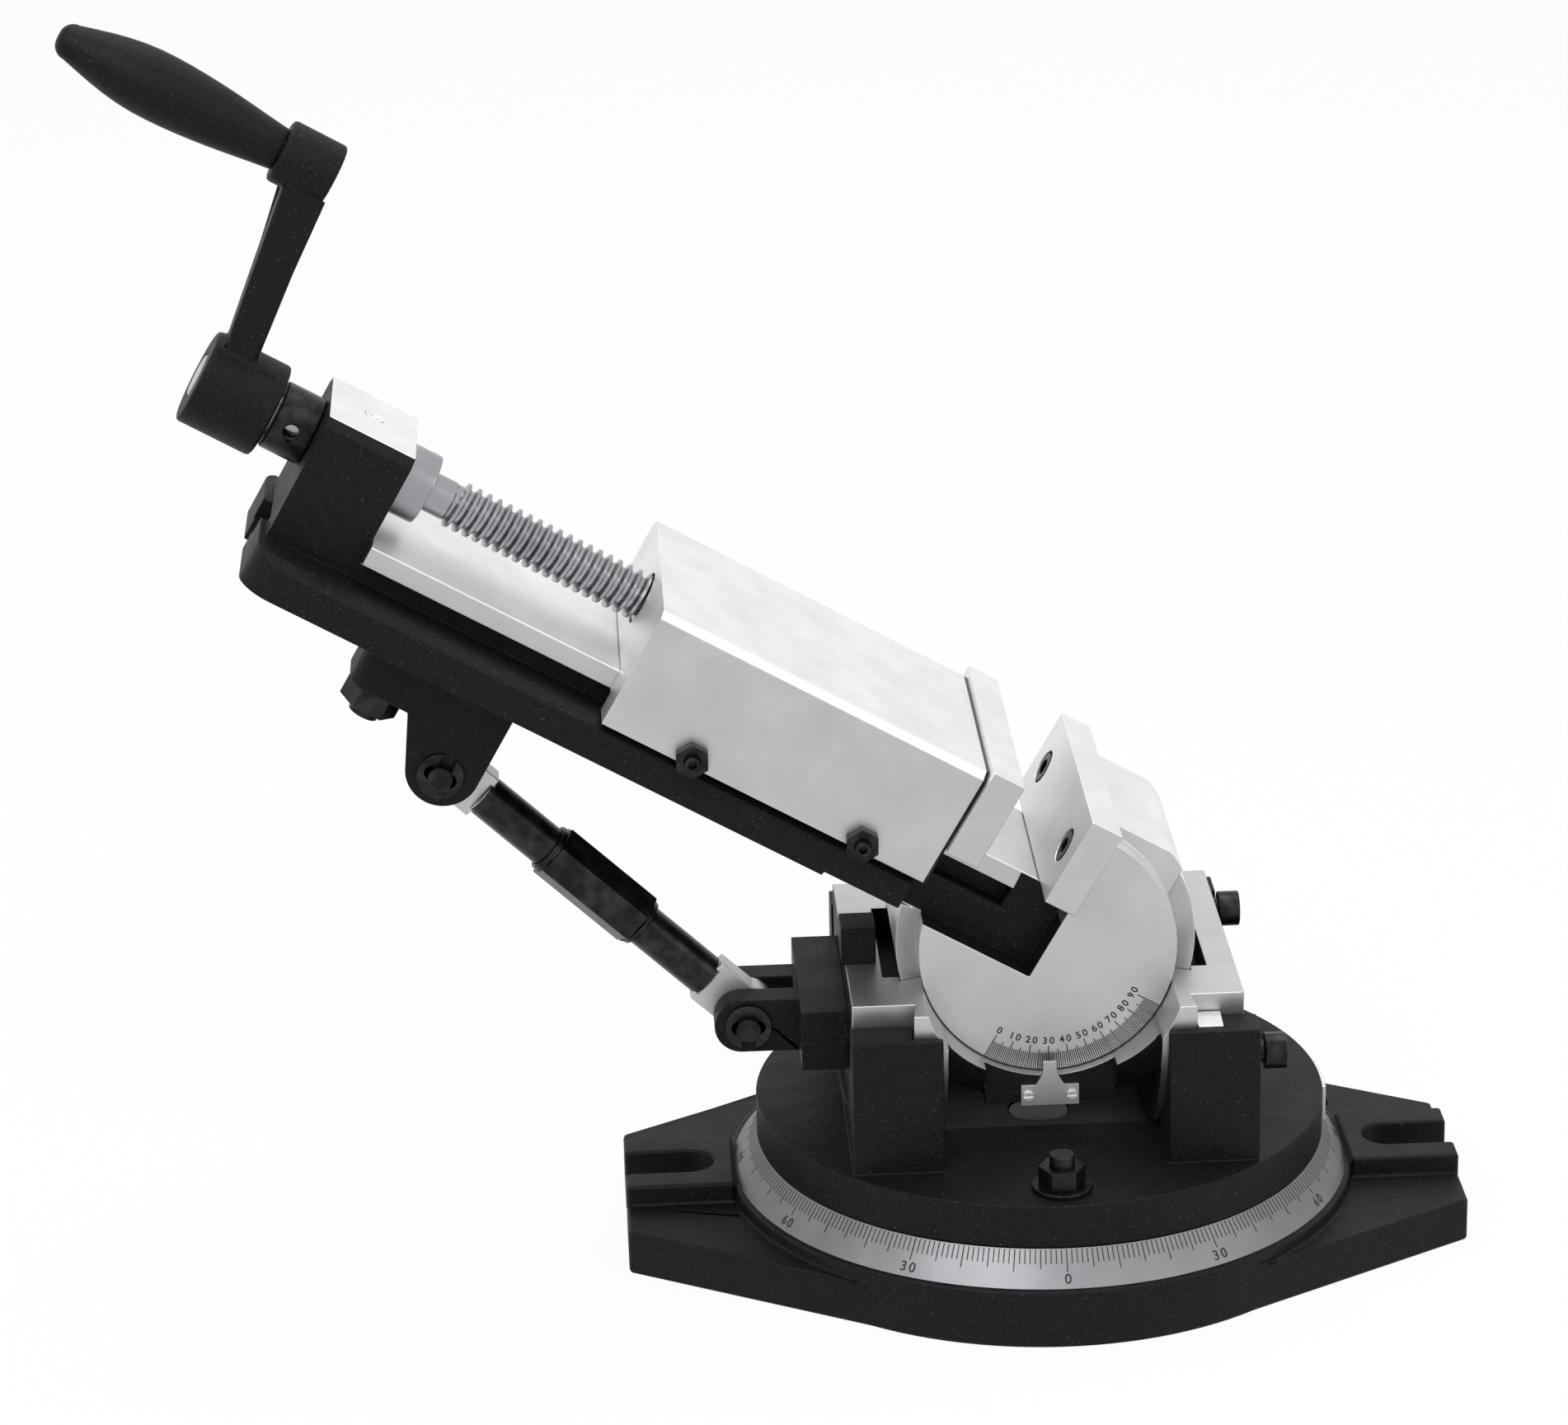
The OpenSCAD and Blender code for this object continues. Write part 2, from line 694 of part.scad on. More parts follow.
module cradle() {
    color("#2b2c2e")
    difference() {
        union() {
            cradle_rail(cradle_right);
            mirror([1, 0, 0]) cradle_rail(cradle_left);
            cradle_bowl();
            translate([drum_x, 0, 0]) block([-pointer_boss_hw, pointer_boss_y[0], pointer_boss_z[0]],
                [pointer_boss_hw, pointer_boss_y[1], pointer_boss_z[1]]);
        }
        block([-cradle_len, -2 * tongue_r, cradle_top], [cradle_len, 2 * tongue_r, drum_h + tongue_r]);
        translate([drum_x, 0, 0]) block([-pointer_boss_hw, -2 * tongue_r, 0],
            [pointer_boss_hw, pointer_boss_y[0], drum_h]);
        drum_bore();
        translate([drum_x, 0, cradle_top]) block([-drum_relief_r, -drum_relief_y, -drum_relief_h],
            [drum_relief_r, drum_relief_y, drum_relief_h]);
        translate([drum_x, tilt_clamp_y, tilt_clamp_z]) along_x()
            cylinder(r = clamp_r + hole_gap, h = cradle_len);
        at_foot_screws() cylinder(r = foot_screw_r + hole_gap, h = foot_head_h + foot_screw_len + cut);
    }
}
module tilt_pointer() {
    color("silver")
    translate([drum_x, pointer_boss_y[0], 0]) rotate([90, 0, 0]) linear_extrude(pointer_t)
        polygon([[-pointer_hw, pointer_base_z], [pointer_hw, pointer_base_z],
            [pointer_hw, pointer_base_z + pointer_bar_h], [pointer_neck_hw, pointer_base_z + pointer_bar_h],
            [pointer_tip_hw, pointer_tip_z - pointer_tip_h], [pointer_tip_hw, pointer_tip_z],
            [-pointer_tip_hw, pointer_tip_z], [-pointer_tip_hw, pointer_tip_z - pointer_tip_h],
            [-pointer_neck_hw, pointer_base_z + pointer_bar_h],
            [-pointer_hw, pointer_base_z + pointer_bar_h]]);
}
module pointer_screws() {
    color("silver")
    for (side = [-1, 1])
        translate([drum_x + side * pointer_screw_x, pointer_front, pointer_base_z + pointer_bar_h / 2])
            rotate([90, 0, 0]) pan_screw(pointer_screw_r, pointer_screw_h);
}
module tilt_gib() {
    color("silver")
    at_drum() rotate([0, 0, 90 - tilt_gib_a]) rotate_extrude(angle = 2 * tilt_gib_a)
        polygon([[drum_bore_r + slide_gap,
                flange_hw + flank_gap + 2 * slide_gap * flange_slope / drum_flange_d],
            [drum_flange_r, flange_hw + flank_gap + flange_slope],
            [drum_flange_r, tilt_seat_y - slide_gap], [drum_bore_r + slide_gap, tilt_seat_y - slide_gap]]);
}
module tilt_clamp_screw() {
    color("#2f3032")
    translate([cradle_right + tilt_clamp_neck, tilt_clamp_y, tilt_clamp_z]) along_x()
        socket_screw(clamp_r, cradle_right + tilt_clamp_neck - tilt_clamp_tip, clamp_r * head_d_share,
            clamp_d * head_h_share);
}
module stop_block() {
    color("#2b2c2e")
    block([stop_x[0], stop_y[0], cradle_top], [stop_x[1], stop_y[1], cradle_top + stop_h]);
}

// Brace foot and its pin
module at_foot_screws() {
    for (side = [-1, 1]) translate([foot_x, side * foot_screw_y, foot_screw_z]) along_x() children();
}
module pin_ear(r) {
    rotate([90, 0, 0]) cylinder(r = r, h = 2 * ear_hw, center = true);
}
module pin_hole() {
    rotate([90, 0, 0]) cylinder(r = brace_pin_r + run_gap, h = 4 * ear_hw, center = true);
}
module brace_foot() {
    color("#2b2c2e")
    difference() {
        union() {
            block([foot_x, -foot_hw, foot_z[0]], [-cradle_left, foot_hw, foot_z[1]]);
            translate([lower_pin[0] - ear_tip, 0, lower_pin[1]]) pin_ear(ear_r);
            block([lower_pin[0] - ear_tip, -ear_hw, lower_pin[1] - ear_r],
                [foot_x + cut, ear_hw, lower_pin[1] + ear_r]);
        }
        block([lower_pin[0] - 2 * ear_r, -ear_slot / 2, lower_pin[1] - 2 * ear_r],
            [foot_x - cut, ear_slot / 2, lower_pin[1] + 2 * ear_r]);
        translate([lower_pin[0], 0, lower_pin[1]]) pin_hole();
        at_foot_screws() {
            translate([0, 0, -cut]) cylinder(r = foot_screw_r + hole_gap, h = foot_t + 2 * cut);
            translate([0, 0, -cut]) cylinder(r = foot_head_r + hole_gap, h = foot_head_h + cut);
        }
    }
}
module foot_screws() {
    color("#3a3b3d")
    at_foot_screws() translate([0, 0, foot_head_h]) mirror([0, 0, 1])
        socket_screw(foot_screw_r, foot_screw_len, foot_head_r, foot_head_h);
}
module brace_pin() {
    rotate([-90, 0, 0]) difference() {
        cylinder(r = brace_pin_r, h = 2 * (ear_hw + pin_over), center = true);
        for (side = [-1, 1]) translate([0, 0, side * (ear_hw + clip_gap + clip_t / 2)]) difference() {
            cylinder(r = 2 * brace_pin_r, h = clip_t + clip_gap, center = true);
            cylinder(r = clip_groove_r, h = 2 * clip_t, center = true);
        }
    }
}
module brace_clips() {
    rotate([-90, 0, 0])
    for (side = [-1, 1]) translate([0, 0, side * (ear_hw + clip_gap + clip_t / 2)]) difference() {
        cylinder(r = clip_r, h = clip_t, center = true);
        cylinder(r = clip_groove_r + run_gap, h = 2 * clip_t, center = true);
        for (a = [0, 180]) rotate([0, 0, a]) translate([clip_lobe_shares[0] * brace_pin_r, 0, 0])
            cylinder(r = clip_lobe_shares[1] * brace_pin_r, h = 2 * clip_t, center = true);
        translate([-clip_mouth / 2, 0, -clip_t]) cube([clip_mouth, 2 * clip_r, 2 * clip_t]);
    }
}
module lower_pin() {
    color("#3a3b3d")
    translate([lower_pin[0], 0, lower_pin[1]]) brace_pin();
}
module lower_pin_clips() {
    color("#3a3b3d")
    translate([lower_pin[0], 0, lower_pin[1]]) brace_clips();
}

// Turnbuckle
module rod_end(len) {
    difference() {
        union() {
            rotate([90, 0, 0]) cylinder(r = eye_r, h = blade_t, center = true);
            translate([-blade_hw, -blade_t / 2, 0]) cube([2 * blade_hw, blade_t, blade_len]);
            translate([0, 0, blade_len - cut]) cylinder(r = rod_r, h = len - blade_len + cut);
        }
        pin_hole();
    }
}
module lower_rod() {
    color("#2f3032")
    in_brace() rod_end(sleeve_z + lower_in);
}
module turnbuckle_sleeve() {
    color("#2f3032")
    in_brace() translate([0, 0, sleeve_z]) difference() {
        union() {
            cylinder(r = sleeve_neck_r, h = sleeve_len);
            translate([0, 0, sleeve_neck_len]) hex(sleeve_af, sleeve_len - 2 * sleeve_neck_len);
        }
        translate([0, 0, -cut]) cylinder(r = rod_r + run_gap, h = sleeve_len + 2 * cut);
    }
}
module upper_rod() {
    color("#2f3032")
    in_brace() translate([0, 0, brace_len]) mirror([0, 0, 1])
        rod_end(brace_len - sleeve_z - sleeve_len + upper_in);
}

// Brace bracket under the bed
module brace_bracket() {
    color("#2b2c2e")
    in_vise() difference() {
        union() {
            difference() {
                block([bracket_u[0], -ear_hw, bracket_w[0]], [bracket_u[1], ear_hw, bracket_w[1]]);
                translate([bracket_u[0], 0, bracket_w[0] - cut]) round_corners(bracket_corner_r, ear_hw,
                    bracket_h + 2 * cut);
            }
            hull() {
                translate([upper_pin_u, 0, bracket_ear_up - upper_pin_drop]) pin_ear(bracket_ear_r);
                block([upper_pin_u - bracket_ear_out, -ear_hw, bracket_w[0]],
                    [bracket_u[1], ear_hw, bracket_w[0] + cut]);
            }
        }
        block([upper_pin_u - 2 * bracket_ear_r, -ear_slot / 2, -upper_pin_drop - 2 * bracket_ear_r],
            [upper_pin_u + 2 * bracket_ear_r, ear_slot / 2, -upper_pin_drop + ear_reach]);
        translate([upper_pin_u, 0, -upper_pin_drop]) pin_hole();
        translate([bracket_bolt_u, 0, bracket_w[0] - cut])
            cylinder(r = bracket_bolt_r + hole_gap, h = bracket_w[1] - bracket_w[0] + 2 * cut);
    }
}
module upper_pin() {
    color("#3a3b3d")
    in_vise() translate([upper_pin_u, 0, -upper_pin_drop]) brace_pin();
}
module upper_pin_clips() {
    color("#3a3b3d")
    in_vise() translate([upper_pin_u, 0, -upper_pin_drop]) mirror([0, 0, 1]) brace_clips();
}
module bracket_t_bolt() {
    color("#3a3b3d")
    in_vise() translate([bracket_bolt_u, 0, 0]) {
        block([-t_head_hw, -t_head_hw, t_head_w[0]], [t_head_hw, t_head_hw, t_head_w[1]]);
        translate([0, 0, bracket_w[0] - bracket_nut_t - bracket_bolt_over]) cylinder(r = bracket_bolt_r,
            h = t_head_w[1] - bracket_w[0] + bracket_nut_t + bracket_bolt_over);
    }
}
module bracket_nut() {
    color("#2f3032")
    in_vise() translate([bracket_bolt_u, 0, bracket_w[0] - bracket_nut_t]) difference() {
        hex(bracket_nut_af, bracket_nut_t);
        translate([0, 0, -cut]) cylinder(r = bracket_bolt_r + run_gap, h = bracket_nut_t + 2 * cut);
    }
}

// Vise body, in the vise's frame
module drum() {
    difference() {
        along_y() {
            cylinder(r = drum_r, h = drum_w, center = true);
            turned([[0, -flange_hw], [drum_r, -flange_hw], [drum_flange_r, -flange_hw - flange_slope],
                [drum_flange_r, flange_hw + flange_slope], [drum_r, flange_hw], [0, flange_hw]]);
        }
        mirrored_y() block([-2 * drum_r, rail_hw, -bed_low], [fixed_face_u, drum_w, 2 * drum_r]);
        block([-2 * drum_r, -drum_w, rail_top], [fixed_face_u, drum_w, 2 * drum_r]);
        mirrored_y() block([-2 * drum_r, rail_neck_hw, bed_top], [rail_end, drum_w, rail_low]);
        block([-2 * drum_r, -drum_w, fixed_top], [2 * drum_r, drum_w, 2 * drum_r]);
        mirrored_y() translate([fixed_face_u, rail_hw + slide_gap, rail_top]) along_y()
            cylinder(r = fixed_relief_r, h = drum_w);
    }
}
module fixed_jaw_block() {
    intersection() {
        block([fixed_face_u, -fixed_hw, 0], [fixed_tail_u, fixed_hw, fixed_top]);
        along_y() cylinder(r = fixed_r, h = drum_w, center = true);
    }
}
module bed() {
    translate([-bed_len, 0, 0]) along_x() linear_extrude(bed_len - bed_front)
        polygon([[bed_low, -bed_hw], [bed_low, bed_hw], [bed_chamfer_w - bed_top, bed_hw],
            [-bed_top, bed_hw - bed_chamfer_v], [-bed_top, bed_chamfer_v - bed_hw],
            [bed_chamfer_w - bed_top, -bed_hw]]);
    block([-bed_front - cut, -rail_hw, -bed_low], [0, rail_hw, bed_top]);
}
module rail() {
    block([bearing_front - cut, -rail_neck_hw, 0], [rail_end, rail_neck_hw, rail_low + cut]);
    block([bearing_front - cut, -rail_hw, rail_low], [fixed_face_u, rail_hw, rail_top]);
    block([rail_end, -rail_hw, 0], [fixed_face_u, rail_hw, rail_top]);
}
module bearing_block() {
    translate([bearing_rear, 0, 0]) along_x() linear_extrude(bearing_len)
        polygon([[0, -bearing_hw], [0, bearing_hw], [bearing_chamfer - bearing_top, bearing_hw],
            [-bearing_top, bearing_hw - bearing_chamfer], [-bearing_top, bearing_chamfer - bearing_hw],
            [bearing_chamfer - bearing_top, -bearing_hw]]);
}
module bed_t_slot() {
    block([-bed_len - cut, -t_mouth_hw, -bed_low - cut],
        [t_slot_len - bed_len, t_mouth_hw, t_mouth_h - bed_low + cut]);
    block([-bed_len - cut, -t_space_hw, t_mouth_h - bed_low],
        [t_slot_len - bed_len, t_space_hw, t_mouth_h + t_space_h - bed_low]);
}
module at_plate_screws(u) {
    for (side = [-1, 1]) translate([u, side * plate_screw_v, plate_screw_w]) along_x() children();
}
module vise_body() {
    color("#2b2c2e")
    in_vise() difference() {
        union() {
            drum();
            fixed_jaw_block();
            bed();
            rail();
            bearing_block();
        }
        bed_t_slot();
        block([-bed_relief_u, -bed_w, -bed_low - cut], [-bed_front, bed_w, bed_relief - bed_low]);
        translate([-bed_len, 0, -bed_low - cut])
            round_corners(bed_corner_r, bed_hw, bed_low + bed_top + 2 * cut);
        block([stop_pocket_u[0], stop_pocket_v[0], -bed_low - cut],
            [stop_pocket_u[1], stop_pocket_v[1], stop_pocket_h - bed_low]);
        translate([bearing_rear - cut, 0, screw_h]) along_x()
            cylinder(r = journal_r + run_gap, h = bearing_len + 2 * cut);
        translate([(bearing_rear + bearing_front) / 2, 0, bearing_top - oil_depth])
            cylinder(r = oil_r + run_gap, h = oil_depth + cut);
        at_plate_screws(fixed_face_u - cut)
            cylinder(r = plate_screw_r + hole_gap, h = plate_screw_len + cut);
    }
}
module jaw_plate(u) {
    translate([u, 0, 0]) difference() {
        block([0, -jaw_hw, jaw_low], [jaw_t, jaw_hw, jaw_top]);
        at_plate_screws(-cut) cylinder(r = plate_screw_r + hole_gap, h = jaw_t + 2 * cut);
        children();
    }
}
module fixed_jaw_plate() {
    color("silver")
    in_vise() jaw_plate(fixed_plate_u)
        at_plate_screws(-cut) cylinder(r = plate_bore_r, h = plate_head_h + cut);
}
module fixed_jaw_screws() {
    color("#3a3b3d")
    in_vise() at_plate_screws(fixed_plate_u + plate_head_h) mirror([0, 0, 1])
        socket_screw(plate_screw_r, plate_screw_len + jaw_t - plate_head_h - cut, plate_head_r, plate_head_h);
}
module oil_ball() {
    color("silver")
    in_vise() translate([(bearing_rear + bearing_front) / 2, 0, bearing_top]) {
        difference() {
            translate([0, 0, -oil_depth]) cylinder(r = oil_r, h = oil_depth);
            translate([0, 0, -oil_ball_r]) cylinder(r = oil_ball_r, h = 2 * oil_ball_r);
        }
        translate([0, 0, -oil_ball_r]) sphere(r = oil_ball_r);
    }
}

// Moving jaw, in the vise's frame
module on_screw(u) {
    translate([u, 0, screw_h]) along_x() children();
}
module at_keeper_screws() {
    mirrored_y() for (u = keeper_screw_u) translate([u, 0, keeper_screw_w]) along_y() children();
}
module moving_jaw() {
    color("#c9cacb")
    in_vise() difference() {
        translate([block_rear, 0, 0]) along_x() linear_extrude(block_len)
            polygon([[-block_low, -block_hw], [-block_low, block_hw], [block_chamfer - block_top, block_hw],
                [-block_top, block_hw - block_chamfer], [-block_top, block_chamfer - block_hw],
                [block_chamfer - block_top, -block_hw]]);
        block([block_rear - cut, -channel_hw, 0], [block_front + cut, channel_hw, jaw_low]);
        block([block_rear - cut, -keeper_v[1] - hole_gap, 0],
            [block_front + cut, keeper_v[1] + hole_gap, keeper_w[1] + hole_gap]);
        on_screw(block_rear - cut) cylinder(r = block_bore_r, h = block_len + 2 * cut);
        on_screw(block_rear + nut_in) cylinder(r = nut_r + hole_gap, h = block_len);
        at_keeper_screws()
            cylinder(r = keeper_screw_r + hole_gap, h = block_w);
        at_plate_screws(block_front - plate_screw_len)
            cylinder(r = plate_screw_r + hole_gap, h = block_len);
    }
}
module moving_jaw_plate() {
    color("silver")
    in_vise() jaw_plate(moving_plate_u)
        at_plate_screws(jaw_t - plate_head_h) cylinder(r = plate_bore_r, h = plate_head_h + cut);
}
module moving_jaw_screws() {
    color("#3a3b3d")
    in_vise() at_plate_screws(moving_plate_u + jaw_t - plate_head_h)
        socket_screw(plate_screw_r, plate_screw_len + jaw_t - plate_head_h - cut, plate_head_r, plate_head_h);
}
module jaw_nut() {
    color("#b08d4c")
    in_vise() on_screw(block_rear + nut_in + hole_gap) difference() {
        cylinder(r = nut_r, h = nut_len);
        translate([0, 0, -cut]) cylinder(r = screw_r + run_gap, h = nut_len + 2 * cut);
    }
}
module jaw_keepers() {
    color("#8f9193")
    in_vise() mirrored_y()
        block([keeper_u[0], keeper_v[0], keeper_w[0]], [keeper_u[1], keeper_v[1], keeper_w[1]]);
}
module keeper_set_screws() {
    color("#3a3b3d")
    in_vise() at_keeper_screws() difference() {
        translate([0, 0, keeper_v[1]]) cylinder(r = keeper_screw_r,
            h = block_hw + keeper_screw_over - keeper_v[1]);
        translate([0, 0, block_hw + keeper_screw_over - keeper_socket_d])
            hex(keeper_screw_r, keeper_socket_d + cut);
    }
}
module keeper_lock_nuts() {
    color("#2f3032")
    in_vise() at_keeper_screws() translate([0, 0, block_hw]) difference() {
        hex(keeper_nut_af, keeper_nut_t);
        translate([0, 0, -cut]) cylinder(r = keeper_screw_r + run_gap, h = keeper_nut_t + 2 * cut);
    }
}

// Lead screw and crank, in the vise's frame
// One crest of the thread, as points of radius and height from its middle
function crest(z) = [[root_r, z - crest_shares[1] * screw_pitch],
    [screw_r, z - crest_shares[0] * screw_pitch],
    [screw_r, z + crest_shares[0] * screw_pitch],
    [root_r, z + crest_shares[1] * screw_pitch]];
module lead_screw() {
    color("silver")
    in_vise() on_screw(hub_u) {
        cylinder(r = journal_r, h = front_collar_u + collar_len - hub_u);
        cylinder(r = neck_r, h = thread_start - hub_u);
        translate([0, 0, thread_start - hub_u]) turned([[0, 0], [root_r, 0],
            for (n = [1 : thread_count]) each crest(n * screw_pitch),
            [root_r, thread_end - thread_start - screw_pitch / 4],
            [root_r - screw_pitch / 4, thread_end - thread_start], [0, thread_end - thread_start]]);
    }
}
module collar(len, r) {
    difference() {
        cylinder(r = r, h = len);
        translate([0, 0, -cut]) cylinder(r = journal_r + run_gap, h = len + 2 * cut);
        translate([0, 0, len / 2]) rotate([90, 0, 0]) cylinder(r = collar_screw_r, h = 2 * r);
    }
}
module front_collar() {
    color("silver")
    in_vise() on_screw(front_collar_u) mirror([0, 1, 0]) collar(collar_len, front_collar_r);
}
module rear_collar() {
    color("#3a3b3d")
    in_vise() on_screw(rear_collar_u) collar(rear_collar_len, rear_collar_r);
}
module crank() {
    color("#2b2c2e")
    in_vise() difference() {
        union() {
            on_screw(hub_u) cylinder(r = hub_r, h = hub_len);
            translate([boss_u, 0, grip_axis]) along_x() cylinder(r = boss_r, h = boss_len);
            rotate([90, 0, 0]) linear_extrude(2 * arm_hw, center = true)
                polygon([[arm_low_u, screw_h], [arm_low_u + arm_t[0], screw_h],
                    [arm_top_u + arm_t[1], grip_axis], [arm_top_u, grip_axis]]);
        }
        on_screw(hub_u - cut) cylinder(r = journal_r + run_gap, h = hub_len + 2 * cut);
        translate([boss_u - cut, 0, grip_axis]) along_x()
            cylinder(r = spindle_r + run_gap, h = boss_len + 2 * cut);
    }
}
module grip_spindle() {
    color("silver")
    in_vise() translate([boss_u - spindle_in, 0, grip_axis]) along_x()
        cylinder(r = spindle_r, h = spindle_in + boss_len);
}
// Radius of the grip at a share of its length from the crank
function grip_r(t) = t < grip_mid_share
    ? grip_neck_r + (grip_d / 2 - grip_neck_r) * pow(sin(90 * t / grip_mid_share), grip_swell_share)
    : grip_tip_r + (grip_d / 2 - grip_tip_r) * cos(90 * (t - grip_mid_share) / (1 - grip_mid_share));
module grip() {
    color("#1c1d1f")
    in_vise() translate([grip_end_u, 0, grip_axis]) mirror([1, 0, 0]) along_x() difference() {
        turned([[0, 0],
            for (k = [0 : grip_steps])
                [grip_r(k / grip_steps), (grip_len - grip_round) * k / grip_steps],
            for (a = [15 : 15 : 90])
                [grip_tip_r - grip_round * (1 - cos(a)), grip_len - grip_round * (1 - sin(a))],
            [0, grip_len]]);
        translate([0, 0, -cut]) cylinder(r = spindle_r + run_gap, h = spindle_in + 2 * cut);
    }
}

base_casting();
scale_ring();
centre_pin();
turntable();
swivel_t_bolts();
swivel_washers();
swivel_nuts();
index_plate();
index_plate_screws();
roll_gib();
roll_clamp_screw();
cradle();
tilt_pointer();
pointer_screws();
tilt_gib();
tilt_clamp_screw();
stop_block();
brace_foot();
foot_screws();
lower_pin();
lower_pin_clips();
lower_rod();
turnbuckle_sleeve();
upper_rod();
brace_bracket();
upper_pin();
upper_pin_clips();
bracket_t_bolt();
bracket_nut();
vise_body();
fixed_jaw_plate();
fixed_jaw_screws();
oil_ball();
moving_jaw();
moving_jaw_plate();
moving_jaw_screws();
jaw_nut();
jaw_keepers();
keeper_set_screws();
keeper_lock_nuts();
lead_screw();
front_collar();
rear_collar();
crank();
grip_spindle();
grip();
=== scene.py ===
"""Three-axis machine vise on its swivel base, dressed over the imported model."""
import bpy
import json
import math
from mathutils import Matrix, Vector

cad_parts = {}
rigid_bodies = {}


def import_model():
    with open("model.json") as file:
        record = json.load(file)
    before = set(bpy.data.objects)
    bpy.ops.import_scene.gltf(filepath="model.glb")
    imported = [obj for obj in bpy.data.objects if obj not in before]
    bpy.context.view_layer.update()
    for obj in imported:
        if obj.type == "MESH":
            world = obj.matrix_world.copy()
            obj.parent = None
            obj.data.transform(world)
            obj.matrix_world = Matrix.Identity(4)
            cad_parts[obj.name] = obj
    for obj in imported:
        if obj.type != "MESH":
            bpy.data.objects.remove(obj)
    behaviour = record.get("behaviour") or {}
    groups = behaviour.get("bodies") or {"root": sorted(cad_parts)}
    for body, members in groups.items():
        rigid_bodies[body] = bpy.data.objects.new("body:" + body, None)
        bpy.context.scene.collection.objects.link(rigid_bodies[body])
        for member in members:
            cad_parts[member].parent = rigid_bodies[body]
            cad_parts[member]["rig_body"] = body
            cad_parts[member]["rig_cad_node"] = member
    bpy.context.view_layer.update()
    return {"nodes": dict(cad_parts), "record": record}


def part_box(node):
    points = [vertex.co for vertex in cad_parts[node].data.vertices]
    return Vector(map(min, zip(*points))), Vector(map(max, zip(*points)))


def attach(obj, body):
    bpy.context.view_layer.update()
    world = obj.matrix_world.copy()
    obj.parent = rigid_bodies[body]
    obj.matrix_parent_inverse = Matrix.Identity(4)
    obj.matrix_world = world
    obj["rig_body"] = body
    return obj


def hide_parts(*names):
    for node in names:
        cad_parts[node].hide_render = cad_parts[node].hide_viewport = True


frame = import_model()
MM = 0.001

# Base casting
# Grey iron, cast with a round middle, two wings and open bolt slots, and sprayed with black crinkle enamel.
# The enamel dries in fine grains and hides the casting's edges; its many small glints are painted into the
# colour as rare pale dots, a painted highlight.
# Each relief below is a strength and a depth.
BASE_EDGE = 1.2 * MM
CORNER = 40
SMOOTHING = 5
WELD = 0.005 * MM
FLAT = math.radians(0.5)
ENAMEL_BLACK = "#0b0c0d"
ENAMEL_WORN = "#1b1c1e"
# Painted highlight: the colour and share of the glints painted into the enamel as pale dots.
PAINTED_GLINT = "#4c4e51"
PAINTED_GLINT_SHARE = 0.003
ENAMEL_SHINE = 0.15
ENAMEL_DULLNESS = (0.42, 0.62)
WORN_STRETCH = (0.42, 0.78)
ENAMEL_GRAIN = 0.9 * MM
ENAMEL_PIT = 1.5 * MM
# Size of the cells that carry the painted glints.
PAINTED_GLINT_CELL = 0.3 * MM
CASTING_WAVE = 14 * MM
WAVE_RELIEF = (0.35, 0.6 * MM)
GRAIN_RELIEF = (0.55, 0.25 * MM)
PIT_RELIEF = (0.35, 0.2 * MM)


def linear(code):
    """An sRGB hex colour as linear red, green, blue and alpha."""
    parts = [int(code[i:i + 2], 16) / 255 for i in (1, 3, 5)]
    return [c / 12.92 if c <= 0.04045 else ((c + 0.055) / 1.055) ** 2.4 for c in parts] + [1.0]


def add(tree, kind, settings, links=None):
    """Adds a shader node, sets its inputs or properties, and links sockets into its inputs."""
    node = tree.nodes.new(kind)
    for name, value in settings.items():
        if isinstance(name, int) or name in node.inputs:
            node.inputs[name].default_value = value
        else:
            setattr(node, name, value)
    for name, socket in (links or {}).items():
        tree.links.new(socket, node.inputs[name])
    return node


def blank(name):
    """A material with its node tree, its object coordinates and its main shader."""
    material = bpy.data.materials.new(name)
    material.use_nodes = True
    tree = material.node_tree
    spot = add(tree, "ShaderNodeTexCoord", {}).outputs["Object"]
    return material, tree, spot, tree.nodes["Principled BSDF"]


def noise(tree, spot, size, detail=2.0):
    """The factor of a cloudy noise, its patches of about this size."""
    cloud = add(tree, "ShaderNodeTexNoise", {"Scale": 1 / size, "Detail": detail}, {"Vector": spot})
    return cloud.outputs["Fac"]


def two_tones(tree, factor, tones, stretch=(0, 1)):
    """A colour that runs from a dark tone to a pale one over a stretch of a factor."""
    ramp = add(tree, "ShaderNodeValToRGB", {}, {"Fac": factor})
    for stop, code, position in zip(ramp.color_ramp.elements, tones, stretch):
        stop.color = linear(code)
        stop.position = position
    return ramp.outputs["Color"]


def spread(tree, factor, low, high):
    """A factor from 0 to 1 spread over the values from low to high."""
    stretched = add(tree, "ShaderNodeMapRange", {"To Min": low, "To Max": high}, {"Value": factor})
    return stretched.outputs["Result"]


def relief(tree, height, shape, under=None):
    """The normal of a bump of this strength and depth, over another bump's normal where one is given."""
    strength, depth = shape
    links = {"Height": height}
    if under is not None:
        links["Normal"] = under
    bump = add(tree, "ShaderNodeBump", {"Strength": strength, "Distance": depth}, links)
    return bump.outputs["Normal"]


def coat(tree, skin, links, values):
    """Links sockets into the main shader and sets its uniform values on its own sockets."""
    for name, socket in links.items():
        tree.links.new(socket, skin.inputs[name])
    for name, value in values.items():
        skin.inputs[name].default_value = value


